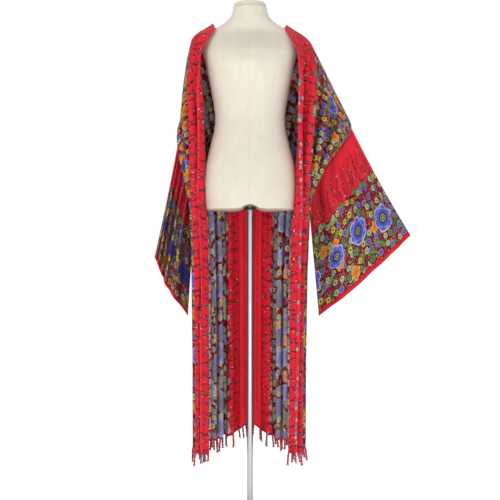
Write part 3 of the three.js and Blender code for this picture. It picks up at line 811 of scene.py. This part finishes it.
def cloth_point(part, u, v):
    """A point of the robe's body, u across from the centre back and v down from the fold line, in metres."""
    back = part == "back"
    side = part if not back else ("right" if u < 0 else "left")
    across = abs(u)
    z = height_of(side, across, v, back)
    plan = plan_at(side, z)
    reach = max(reach_at(side, z), across)
    seam = THICK * 0.5 * smooth(v / 30) * (1 - smooth((v - 30) / 60)) + plan["open"]
    if back:
        points = (plan["seam_x"], plan["seam_y"] + seam), (plan["rear_x"], plan["rear_y"]), (0, plan["back_y"])
        share = bend_length(*points) / reach
        x, y, tx, ty = bend(*points, clamp01(1 - across / reach))
        angle, deep, pitch = fold_phase(FOLDS["back"], u, (-HALF_WIDTH, 0), (HALF_WIDTH, 10.5))
    else:
        seam_spot = plan["seam_x"], plan["seam_y"] - seam
        points = (plan["edge_x"], plan["edge_y"]), (plan["bend_x"], plan["bend_y"]), seam_spot
        wide = max(1, reach - NECK_HALF)
        share = bend_length(*points) / wide
        x, y, tx, ty = bend(*points, clamp01((across - NECK_HALF) / wide))
        angle, deep, pitch = fold_phase(FOLDS[side], across, (NECK_HALF, 0.25), (HALF_WIDTH, 4))
    out, along = fold_wave(share, deep)
    limit = smooth((reach - across) / EDGE_FLAT) if reach < HALF_WIDTH or z > plan["arm"] else 1
    grown = smooth(v / FOLD_STARTS) * limit * pitch / (2 * math.pi)
    mirror = -1 if back and u > 0 else 1
    edge = smooth((HALF_WIDTH - across) / 30)
    out = out * math.sin(angle) * grown + crease_height(part, u if back else across, v) * edge
    along *= -math.sin(2 * angle) * grown * mirror
    x, y = x + tx * along + ty * out, y + ty * along - tx * out
    return Vector(clear_of_form(SIGN[side] * x, y, z)) * MM


def back_point(u, v):
    return cloth_point("back", u, v)


def woven_piece(name, across, down, place, cloth_uv, outside, inside, tube=False, thick=THICK):
    """A sheet of cloth: a flat grid laid point by point where it hangs, then given its thickness."""
    columns, rows = len(across) - 1, len(down) - 1
    sheet = bmesh.new()
    bmesh.ops.create_grid(sheet, x_segments=columns, y_segments=rows, size=1.0)
    uv_layer = sheet.loops.layers.uv.new("cloth")
    spot = {}
    for vert in sheet.verts:
        i = round((vert.co.x + 1) / 2 * columns)
        j = round((1 - vert.co.y) / 2 * rows)
        spot[vert] = (across[i], down[j])
    for face in sheet.faces:
        face.smooth = True
        middle = sum(spot[loop.vert][0] for loop in face.loops) / len(face.loops)
        for loop in face.loops:
            loop[uv_layer].uv = cloth_uv(*spot[loop.vert], middle)
    for vert, (u, v) in spot.items():
        vert.co = place(u, v)
    if tube:
        bmesh.ops.remove_doubles(sheet, verts=sheet.verts, dist=0.00001)
    piece = placed(name, mesh_data(name, sheet, outside, inside))
    wall = piece.modifiers.new("thickness", "SOLIDIFY")
    wall.thickness = thick * MM
    wall.offset = 0.0
    wall.material_offset = 1
    wall.material_offset_rim = 0
    wall.use_even_offset = False
    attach(piece, "root")
    return piece


def steps(start, end, pitch):
    count = max(1, round((end - start) / pitch))
    return [mix(start, end, k / count) for k in range(count + 1)]


def turned_out(piece, outward):
    """Turns the sheet's faces so that the printed side shows on the outside of the robe."""
    total = sum(face.normal.dot(outward(face.center)) * face.area for face in piece.data.polygons)
    if total < 0:
        piece.data.flip_normals()


def from_middle(centre):
    return Vector((centre.x, centre.y, 0))


def bands(**spans):
    """Where the print's bands start and end across the cloth, in metres."""
    return {f"{band}_{limit}": at for band, span in spans.items() for limit, at in zip(("from", "to"), span)}


BACK_BANDS = bands(Twigs=(0.080, 0.168), Flowers=(0.166, 0.545), Blooms=(0.218, 0.420))
back_cloth = cloth_finish("printed_back", BACK_BANDS)
back_wrong = cloth_finish("printed_back_wrong_side", BACK_BANDS, paling_and_painted_light=0.5)


def body_uv(u, v, middle):
    """Both halves of the cloth carry the print outward from the centre, one shifted along so they differ."""
    shift = 0.0 if middle > 0 else 2.37
    return (abs(u) * MM, v * MM + shift)


back_panel = woven_piece(
    "back_of_robe",
    steps(-HALF_WIDTH, 0, THREAD_COLUMN) + steps(0, HALF_WIDTH, THREAD_COLUMN)[1:],
    steps(0, LENGTH, THREAD_ROW),
    back_point,
    body_uv,
    back_cloth,
    back_wrong,
)
turned_out(back_panel, from_middle)
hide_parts("back_panel")


def thread_finish(name, tone):
    """Twisted rayon or polyester: fine fibres that run aslant, with lighter and darker stretches."""
    finish, w, shader = new_finish(name, Roughness=0.5, Sheen_Weight=0.3)
    place = w.node("ShaderNodeTexCoord").outputs["Object"]
    fibres = w.noise(w.vector("MULTIPLY", place, (1.0, 1.0, 0.35)), 900.0)
    w.feed(shader.inputs["Base Color"], w.scaled(tone[:3], 0.72 + fibres * 0.5))
    w.raised(shader, fibres, 0.5, 0.0004)
    return finish


def laid_strands(name, strands, finishes):
    """Round strands, each a row of points with its radii in millimetres and the number of its finish, as one mesh."""
    lines = bpy.data.curves.new(name, "CURVE")
    lines.dimensions = "3D"
    lines.bevel_depth = MM
    lines.bevel_resolution = 1
    lines.use_fill_caps = True
    for finish in finishes:
        lines.materials.append(finish)
    for points, radii, finish in strands:
        line = lines.splines.new("POLY")
        line.points.add(len(points) - 1)
        for spot, point, radius in zip(line.points, points, radii):
            spot.co = (*point, 1.0)
            spot.radius = radius
        line.material_index = finish
    holder = placed(f"{name}_lines", lines)
    data = bpy.data.meshes.new_from_object(holder.evaluated_get(bpy.context.evaluated_depsgraph_get()))
    bpy.data.objects.remove(holder)
    data.name = name
    mesh = bmesh.new()
    mesh.from_mesh(data)
    bmesh.ops.remove_doubles(mesh, verts=mesh.verts, dist=0.000005)
    bmesh.ops.recalc_face_normals(mesh, faces=mesh.faces)
    mesh.to_mesh(data)
    mesh.free()
    piece = placed(name, data)
    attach(piece, "root")
    return piece


STITCH = 3.1
STITCH_PITCH = 4.4
STITCH_DIP = 0.35
STITCH_RADII = [0.25, 0.42, 0.25]
sewing_thread = thread_finish("red_sewing_thread", srgb(176, 22, 38))


def stitch_row(place, start, end, outward, lift=THICK / 2):
    """Lock stitches from one spot of the cloth to another, half sunk in its outer face."""
    length = math.dist(start, end)
    way = ((end[0] - start[0]) / length, (end[1] - start[1]) / length)
    row = []
    for at in steps(STITCH_PITCH, length - STITCH_PITCH, STITCH_PITCH):
        u, v = start[0] + way[0] * at, start[1] + way[1] * at
        here = place(u, v)
        ahead = (place(u + way[0], v + way[1]) - here).normalized()
        aside = place(u - way[1], v + way[0]) - here
        normal = ahead.cross(aside).normalized()
        if normal.dot(outward(here)) < 0:
            normal = -normal
        middle = here + normal * lift * MM
        dip = normal * STITCH_DIP * MM
        half = ahead * STITCH / 2 * MM
        row.append(([middle - half - dip, middle, middle + half - dip], STITCH_RADII, 0))
    return row


back_rows = stitch_row(back_point, (-NECK_HALF + 4, 5), (NECK_HALF - 4, 5), from_middle)
for edge in (-HALF_WIDTH + 5, HALF_WIDTH - 5):
    back_rows += stitch_row(back_point, (edge, 6), (edge, ARMHOLE - 4), from_middle)
back_rows += stitch_row(back_point, (-HALF_WIDTH + 6, LENGTH - 2), (HALF_WIDTH - 6, LENGTH - 2), from_middle, 1.2)
back_stitches = laid_strands("stitches_back", back_rows, [sewing_thread])
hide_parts("back_panel")


# Open fronts. Two straight lengths with no collar. Each front edge has a narrow hem that has rolled outward, so its
# wrong side shows as a strip from the chest down to the fringe, paler as the print half goes through and a little
# painted light.
ROLL = 20
ROLL_RADIUS = 2.6
ROLL_REACH = 17
ROLL_COLUMN = 1.4
FRONT_NODES = {"left": ["front_left"], "right": ["front_right_upper", "front_right_lower"]}
FRONT_SHIFT = {"left": 1.13, "right": 3.51}
FRONT_BANDS = bands(Twigs=(0.112, 0.246), Flowers=(0.244, 0.546), Blooms=(0.296, 0.470))
front_cloth = cloth_finish("printed_front", FRONT_BANDS)
front_wrong = {
    "left": cloth_finish("printed_front_left_wrong_side", FRONT_BANDS | bands(Edge=(0.105, 0.134)), paling_and_painted_light=0.15),
    "right": cloth_finish("printed_front_right_wrong_side", FRONT_BANDS, paling_and_painted_light=0.15),
}


def front_point(side, u, v):
    """A point of a front, with the cloth before the turning line laid back over it."""
    turn = NECK_HALF + ROLL
    if u >= turn:
        return cloth_point(side, u, v)
    start = cloth_point(side, turn, v)
    along = (cloth_point(side, turn + 9, v) - start).normalized()
    down = (cloth_point(side, turn, min(LENGTH, v + 6)) - cloth_point(side, turn, max(0, v - 6))).normalized()
    out = along.cross(down).normalized()
    if out.y > 0:
        out = -out
    back = turn - u
    half_turn = math.pi * ROLL_RADIUS
    if back < half_turn:
        angle = back / ROLL_RADIUS
        go, up = -ROLL_RADIUS * math.sin(angle), ROLL_RADIUS * (1 - math.cos(angle))
    else:
        wander = 0.8 + 0.2 * math.sin(v * 0.0083 + (0 if side == "left" else 2.1))
        go, up = ROLL_REACH * wander * (back - half_turn) / (ROLL - half_turn), 2 * ROLL_RADIUS
    opened = smooth((v - 40) / 160)
    return start + along * mix(-back, go, opened) * MM + out * up * opened * MM


def from_behind(centre):
    return Vector((centre.x, -0.1, 0))


front_pieces = {}
for side in ("left", "right"):

    def place(u, v):
        return front_point(side, u, v)

    front = woven_piece(
        f"front_of_robe_{side}",
        steps(NECK_HALF, NECK_HALF + ROLL, ROLL_COLUMN) + steps(NECK_HALF + ROLL, HALF_WIDTH, THREAD_COLUMN)[1:],
        steps(0, LENGTH, THREAD_ROW),
        place,
        lambda u, v, middle: (u * MM, v * MM + FRONT_SHIFT[side]),
        front_cloth,
        front_wrong[side],
    )
    turned_out(front, from_behind)
    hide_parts(*FRONT_NODES[side])
    front_rows = stitch_row(place, (NECK_HALF + 5, 30), (NECK_HALF + 5, LENGTH - 4), from_behind)
    front_rows += stitch_row(place, (HALF_WIDTH - 5, 6), (HALF_WIDTH - 5, ARMHOLE - 4), from_behind)
    front_rows += stitch_row(place, (NECK_HALF + ROLL + 2, LENGTH - 2), (HALF_WIDTH - 6, LENGTH - 2), from_behind, 1.2)
    front_stitches = laid_strands(f"stitches_front_{side}", front_rows, [sewing_thread])
    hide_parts(*FRONT_NODES[side])
    front_pieces[side] = (front, front_stitches)


# Sleeves. Each is one length of the same cloth, doubled at the top, with no shaping: the left is held out and
# down in a broad wing, the right hangs in deep folds. The bands of the print run round the arm.
SLEEVE_LONG = 415
CUFF_WIDE = 14
SLEEVE_SHIFT = {"left": 0.31, "right": 4.73}
SLEEVE_CORE = {"left": 0.075, "right": 0.06}
ARMHOLE_PARTING = 0.5
BILLOW = 14
SAG = 10
BOW = "at x y z"
FOLD = "at high wide starts"
SLEEVES = {
    "left": {
        "cuff_top": (556, 104, 950),
        "cuff_low": (238, 120, 668),
        "front_bow": table(BOW, [[0, 0, 0, 0], [0.25, 4, -30, 2], [0.6, 6, -38, -4], [1, 0, 0, 0]]),
        "back_bow": table(BOW, [[0, 0, 0, 0], [0.3, -4, 26, -4], [0.7, -6, 34, 4], [1, 0, 0, 0]]),
        "folds": table(
            FOLD,
            [
                [0.16, 6, 0.05, 0.0],
                [0.3, 9, 0.06, 0.1],
                [0.43, -9, 0.05, 0.0],
                [0.55, -8, 0.07, 0.3],
                [0.66, 7, 0.05, 0.1],
                [0.78, 10, 0.06, 0.2],
                [0.9, -6, 0.05, 0.0],
            ],
        ),
        "gathers": (5.0, 9.0, 5.0),
    },
    "right": {
        "cuff_top": (-333, 128, 874),
        "cuff_low": (-214, 92, 672),
        "front_bow": table(BOW, [[0, 0, 0, 0], [0.3, -14, -95, 44], [0.68, -34, -84, 44], [1, 0, 0, 0]]),
        "back_bow": table(BOW, [[0, 0, 0, 0], [0.3, -2, 52, -30], [0.7, 4, 56, -20], [1, 0, 0, 0]]),
        "folds": table(FOLD, [[0.28, 7, 0.07, 0.0], [0.52, -9, 0.08, 0.1], [0.76, 8, 0.07, 0.2]]),
        "gathers": (6.0, 13.0, 18.0),
    },
}
SLEEVE_BANDS = bands(Twigs=(0.042, 0.162), Flowers=(0.150, 0.398), Blooms=(0.200, 0.375))
sleeve_cloth = cloth_finish("printed_sleeve", SLEEVE_BANDS)
sleeve_wrong = cloth_finish("printed_sleeve_wrong_side", SLEEVE_BANDS, paling_and_painted_light=0.4)
hem_cloth = cloth_finish("red_hem", plain=srgb(198, 32, 50))


def sleeve_point(side, t, f):
    """A point of a sleeve: t from the armhole to the open end, f round it, down the front and up the back."""
    cut = SLEEVES[side]
    front = f <= 1
    share = f if front else 2 - f
    part, sign = (side, 1) if front else ("back", SIGN[side])
    arm = cloth_point(part, sign * HALF_WIDTH, ARMHOLE * share) / MM
    move = eased(cut["front_bow" if front else "back_bow"], "at", share, 0.06)
    free = smooth(share * 8) * smooth((1 - share) * 8)
    open_end = Vector([mix(a, b, share) for a, b in zip(cut["cuff_top"], cut["cuff_low"])])
    open_end += Vector((move["x"], move["y"], move["z"])) * free
    point = arm.lerp(open_end, t)
    way = -1 if front else 1
    fall = smooth(min(share, 1 - share) * 5)
    high = BILLOW * math.sin(math.pi * t) * fall
    for fold in cut["folds"]:
        grown = smooth((t - fold["starts"]) * 3)
        high += fold["high"] * math.exp(-(((share - fold["at"]) / fold["wide"]) ** 2)) * grown
    count, near, far = cut["gathers"]
    ripple = math.sin(2 * math.pi * (count * share + 0.12 * math.sin(5 * t + count)))
    deep = mix(near, far, t) * smooth(t * 7)
    point.x += SIGN[side] * ARMHOLE_PARTING * (1 - t) ** 8
    point.y += way * high * fall + deep * ripple * fall
    point.z -= SAG * math.sin(math.pi * t) * (1 - share)
    return point * MM


def sleeve_tube(name, side, start, end, rows, outside, inside, thick):
    return woven_piece(
        name,
        steps(0, 2 * ARMHOLE, 7.0),
        steps(start, end, rows),
        lambda u, v: sleeve_point(side, v / SLEEVE_LONG, 0 if u >= 2 * ARMHOLE else u / ARMHOLE),
        lambda u, v, middle: (v * MM, u * MM + SLEEVE_SHIFT[side]),
        outside,
        inside,
        tube=True,
        thick=thick,
    )


for side in ("left", "right"):
    hem_start = SLEEVE_LONG - CUFF_WIDE
    sleeve = sleeve_tube(f"sleeve_cloth_{side}", side, 0, hem_start + 4, 12.0, sleeve_cloth, sleeve_wrong, THICK)
    hem = sleeve_tube(f"sleeve_hem_{side}", side, hem_start, SLEEVE_LONG, 3.5, hem_cloth, hem_cloth, THICK + 0.8)

    def from_arm(centre):
        return Vector((0, centre.y - SLEEVE_CORE[side], 0))

    def place(u, v):
        return sleeve_point(side, v / SLEEVE_LONG, min(2.0, max(0.0, u / ARMHOLE)))

    for tube in (sleeve, hem):
        turned_out(tube, from_arm)
    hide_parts(f"sleeve_{side}")
    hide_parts(f"cuff_hem_{side}")
    cuff_rows = stitch_row(place, (6, hem_start + 2.5), (2 * ARMHOLE - 6, hem_start + 2.5), from_arm, THICK / 2 + 0.4)
    cuff_stitches = laid_strands(f"stitches_sleeve_{side}", cuff_rows, [sewing_thread])
    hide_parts(f"cuff_hem_{side}")


# Fringe along the whole lower edge. Short lengths of rayon yarn are looped through a narrow woven heading, twisted
# in pairs and knotted, with the ends left to fray. Most are red, some are grey blue or nearly black.
HEADING = 7
YARN_PITCH = 29.0
YARN_LONG = 45
YARN_ROWS = 11
TWISTED = 0.66
FRAYED_ENDS = 7
FIRST_SEED = {"back": 0, "left": 100, "right": 200}
TASSEL_TONES = [
    thread_finish("red_yarn", srgb(206, 32, 50)),
    thread_finish("wine_yarn", srgb(142, 26, 46)),
    thread_finish("slate_yarn", srgb(104, 102, 130)),
    thread_finish("dark_yarn", srgb(66, 34, 50)),
]
TONE_ORDER = [0, 0, 1, 0, 2, 0, 1, 0, 0, 3, 1, 0, 2, 0, 1, 2, 0, 3, 0]


def lumpy(k, pace):
    """A number between 0 and 1 that wanders from one strand to the next."""
    return 0.5 + 0.5 * math.sin(k * pace + 1.7 * math.sin(k * 0.61))


def tassel(top, long, lean, seed):
    """Two plies twisted round each other, a knot, and the frayed ends below it."""
    tone = TONE_ORDER[seed % len(TONE_ORDER)]
    other = TONE_ORDER[(seed + 7) % len(TONE_ORDER)]
    twist = 1.7 + 0.8 * lumpy(seed, 1.1)
    strands = []
    for ply in (0, 1):
        points, radii = [], []
        for i in range(YARN_ROWS + 1):
            share = i / YARN_ROWS
            angle = 2 * math.pi * twist * share + ply * math.pi
            coil = Vector((math.cos(angle), math.sin(angle), 0)) * (1.2 + 1.0 * math.sin(math.pi * share))
            points.append(top + (coil + lean * share + Vector((0, 0, -long * TWISTED * share))) * MM)
            radii.append(1.9 + 0.5 * lumpy(seed + i, 2.2))
        strands.append((points, radii, (tone, other)[ply]))
    foot = top + (lean - Vector((0, 0, long * TWISTED))) * MM
    strands.append(([foot + Vector((0, 0, z)) * MM for z in (3.4, 1.7, -0.6, -2.6)], [2.3, 4.1, 3.9, 2.2], tone))
    for k in range(FRAYED_ENDS):
        angle = 2 * math.pi * k / FRAYED_ENDS + seed
        spread = Vector((math.cos(angle), math.sin(angle), 0)) * (3.0 + 3.0 * lumpy(seed + k, 1.6))
        drop = long * (0.26 + 0.1 * lumpy(seed + k, 2.6))
        points = []
        for share in (0, 0.5, 1):
            points.append(foot + (spread * share**0.7 + lean * share * 0.3 + Vector((0, 0, -drop * share))) * MM)
        strands.append((points, [1.2, 1.1, 0.55], (tone, other)[k % 3 == 0]))
    return strands


def fringe(part, start, end):
    strands = []
    count = round((end - start) / YARN_PITCH)
    for k in range(count):
        seed = k + FIRST_SEED[part]
        u = mix(start, end, (k + 0.5 + 0.6 * (lumpy(seed, 2.9) - 0.5)) / count)
        top = cloth_point(part, u, LENGTH) - Vector((0, 0, 1.5 * MM))
        lean = Vector((7 * (lumpy(seed, 1.3) - 0.5), 6 * (lumpy(seed, 1.9) - 0.5), 0))
        strands += tassel(top, YARN_LONG * (0.78 + 0.34 * lumpy(seed, 2.4)), lean, seed)
    tassels = laid_strands(f"tassels_{part}", strands, TASSEL_TONES)
    heading = woven_piece(
        f"heading_{part}",
        steps(start, end, THREAD_COLUMN),
        [0, HEADING / 2, HEADING],
        lambda u, v: cloth_point(part, u, LENGTH) - Vector((0, 0, (v - 2) * MM)),
        lambda u, v, middle: (u * MM, v * MM),
        hem_cloth,
        hem_cloth,
        thick=THICK + 0.7,
    )
    return [tassels, heading]


for node, part, start in (
    ("fringe_back", "back", -HALF_WIDTH + 3),
    ("fringe_front_left", "left", NECK_HALF + ROLL),
    ("fringe_front_right", "right", NECK_HALF + ROLL),
):
    trim = fringe(part, start, HALF_WIDTH - 3)
    for piece in trim:
        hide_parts(node)
    if part == "back":
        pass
    else:
        front, seams = front_pieces[part]


# Dress form. A foam body over a shell, covered in ivory linen sewn in eight upright panels, with the underside
# arched over the pole. The robe rests on its shoulders.
FORM_COLUMNS = 128
FORM_ROWS = 90
ARCH_RADIUS = 40
ARCH_CENTRE = 1009
SEAM_ANGLES = [-180, -122, -90, -58, 0, 58, 90, 122, 180]
LINEN = srgb(216, 209, 193)
SEAM_SHADE = srgb(176, 164, 138)
RIM_SHADE = srgb(150, 128, 104)
RIM_HEIGHT = 1.0365

linen, w, linen_shader = new_finish("ivory_linen", Roughness=0.85, Sheen_Weight=0.15)
linen_uv = w.node("ShaderNodeUVMap", uv_map="panels").outputs[0]
panel, height, _ = w.split(linen_uv)
threads = w.group(weave, Place=w.vector("MULTIPLY", linen_uv, (0.16, 1.0, 1.0)))
near = abs(panel - w.calc("ROUND", panel))
seam = w.calc("SUBTRACT", 1.0, near * 90.0, clamp=True)
shade = w.blend(seam * 0.28, LINEN, SEAM_SHADE)
shade = w.blend((height < RIM_HEIGHT) * 0.55, shade, RIM_SHADE)
w.feed(linen_shader.inputs["Base Color"], w.scaled(shade, threads["Tone"]))
w.raised(linen_shader, threads["Height"] * 0.4 - seam * 3.0, 0.4, 0.0006)


def form_point(angle, z):
    ring = eased(TORSO, "z", z, 7)
    c, s = math.cos(angle), math.sin(angle)
    x = ring["half"] * math.copysign(abs(c) ** (2 / TORSO_POWER), c)
    y = (ring["front"] if s < 0 else ring["back"]) * math.copysign(abs(s) ** (2 / TORSO_POWER), s)
    return Vector((x, y, z))


def form_foot(x):
    """Height of the lower edge, which swells down a little either side and rises over the arch."""
    arch = ARCH_CENTRE + math.sqrt(max(0, ARCH_RADIUS**2 - x * x)) - TORSO[0]["z"]
    return TORSO[0]["z"] + max(0.0, arch, 11 * math.exp(-((x / 36) ** 2))) + 2.5 * (x / 146) ** 2


def panel_number(angle):
    degrees = math.degrees(angle)
    k = 0
    while k < len(SEAM_ANGLES) - 2 and degrees > SEAM_ANGLES[k + 1]:
        k += 1
    return k + (degrees - SEAM_ANGLES[k]) / (SEAM_ANGLES[k + 1] - SEAM_ANGLES[k])


body = bmesh.new()
bmesh.ops.create_grid(body, x_segments=FORM_COLUMNS, y_segments=FORM_ROWS, size=1.0)
uv_layer = body.loops.layers.uv.new("panels")
spot = {}
for vert in body.verts:
    i = round((vert.co.x + 1) / 2 * FORM_COLUMNS)
    j = round((vert.co.y + 1) / 2 * FORM_ROWS)
    angle = -math.pi + 2 * math.pi * i / FORM_COLUMNS
    foot = form_foot(form_point(angle, TORSO[0]["z"]).x)
    z = mix(foot, TORSO[-1]["z"], j / FORM_ROWS)
    spot[vert] = (i, j, angle, z)
for face in body.faces:
    face.smooth = True
    for loop in face.loops:
        i, j, angle, z = spot[loop.vert]
        loop[uv_layer].uv = (panel_number(angle), z * MM)
for vert, (i, j, angle, z) in spot.items():
    vert.co = form_point(angle, z) * MM
low = {i: vert for vert, (i, j, *_) in spot.items() if j == 0}
high = [vert for vert, (i, j, *_) in sorted(spot.items(), key=lambda item: item[1][0]) if j == FORM_ROWS]
half_way = FORM_COLUMNS // 2
for i in range(half_way):
    mirror = FORM_COLUMNS - i
    if i == 0:
        body.faces.new((low[0], low[1], low[mirror - 1]))
    elif i < half_way - 1:
        body.faces.new((low[i], low[i + 1], low[mirror - 1], low[mirror]))
    else:
        body.faces.new((low[i], low[half_way], low[mirror]))
body.faces.new(high[:-1])
bmesh.ops.remove_doubles(body, verts=body.verts, dist=0.00001)
bmesh.ops.recalc_face_normals(body, faces=body.faces)
form_piece = placed("dress_form_body", mesh_data("dress_form_body", body, linen))
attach(form_piece, "root")
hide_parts("dress_form")


# Neck cap. A padded disc covered in the same linen, pressed into the neck.
def turned_piece(name, profile, sides, finish, stretch=(1.0, 1.0)):
    """A round piece about the upright axis, spun from its profile of radius and height."""
    sharp = math.radians(40)
    mesh = bmesh.new()
    line = [mesh.verts.new((radius * MM, 0, z * MM)) for radius, z in profile]
    edges = [mesh.edges.new(pair) for pair in zip(line, line[1:])]
    bmesh.ops.spin(
        mesh, geom=line + edges, cent=(0, 0, 0), axis=(0, 0, 1), angle=2 * math.pi, steps=sides, use_merge=True
    )
    bmesh.ops.remove_doubles(mesh, verts=mesh.verts, dist=0.00001)
    bmesh.ops.scale(mesh, vec=(stretch[0], stretch[1], 1.0), verts=mesh.verts)
    bmesh.ops.recalc_face_normals(mesh, faces=mesh.faces)
    for face in mesh.faces:
        face.smooth = True
    piece = placed(name, mesh_data(name, mesh, finish))
    piece.data.set_sharp_from_angle(angle=sharp)
    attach(piece, "root")
    return piece


cap_linen, w, cap_shader = new_finish("cap_linen", Roughness=0.85)
threads = w.group(weave, Place=w.node("ShaderNodeTexCoord").outputs["Object"])
w.feed(cap_shader.inputs["Base Color"], w.scaled(LINEN[:3], threads["Tone"]))
w.raised(cap_shader, threads["Height"], 0.4, 0.0006)
CAP_HALF = 53
CAP_DEEP = 48
CAP_PROFILE = [(0, 1711.3), (1, 1711.3), (1, 1714), (1.0, 1720), (0.985, 1723), (0.94, 1725), (0.84, 1726), (0, 1726)]
cap_profile = [(share * CAP_HALF, z) for share, z in CAP_PROFILE]
cap = turned_piece("neck_cap_cover", cap_profile, 64, cap_linen, (1.0, CAP_DEEP / CAP_HALF))
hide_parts("neck_cap")


# Stand. A polished steel tube screwed into a flat round steel base, held under the form by a black collar.
def worn_finish(name, low, high, roughness, grain, metallic=0.0):
    """A hard finish that is cloudier and duller in places, as handling and dusting leave it."""
    finish, w, shader = new_finish(name, Metallic=metallic)
    place = w.node("ShaderNodeTexCoord").outputs["Object"]
    marks = w.noise(w.vector("MULTIPLY", place, grain), 1.0, 5.0)
    w.feed(shader.inputs["Base Color"], w.blend(marks, low, high))
    w.feed(shader.inputs["Roughness"], roughness + marks * 0.16)
    w.raised(shader, marks, 0.15, 0.0001)
    return finish


steel = worn_finish("polished_steel", (0.40, 0.40, 0.42, 1), (0.50, 0.50, 0.52, 1), 0.22, (220.0, 220.0, 9.0), 1.0)
nylon = worn_finish("black_nylon", srgb(26, 24, 24), srgb(44, 42, 42), 0.4, (160.0, 160.0, 160.0))

pole = turned_piece("steel_pole", [(0, 8.3), (11, 8.3), (11, 1046.6), (0, 1046.6)], 48, steel)
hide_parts("pole")
COLLAR = [(11.3, 1034), (19.5, 1034), (20, 1034.5), (20, 1042.4), (19.5, 1042.9), (11.3, 1042.9), (11.3, 1034)]
collar = turned_piece("pole_collar", COLLAR, 48, nylon)
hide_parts("pole_socket")
BASE = [(0, 0), (179.5, 0), (180, 0.5), (180, 6), (179.4, 7.3), (178, 8), (0, 8)]
base = turned_piece("base_disc", BASE, 96, steel)
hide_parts("base_plate")


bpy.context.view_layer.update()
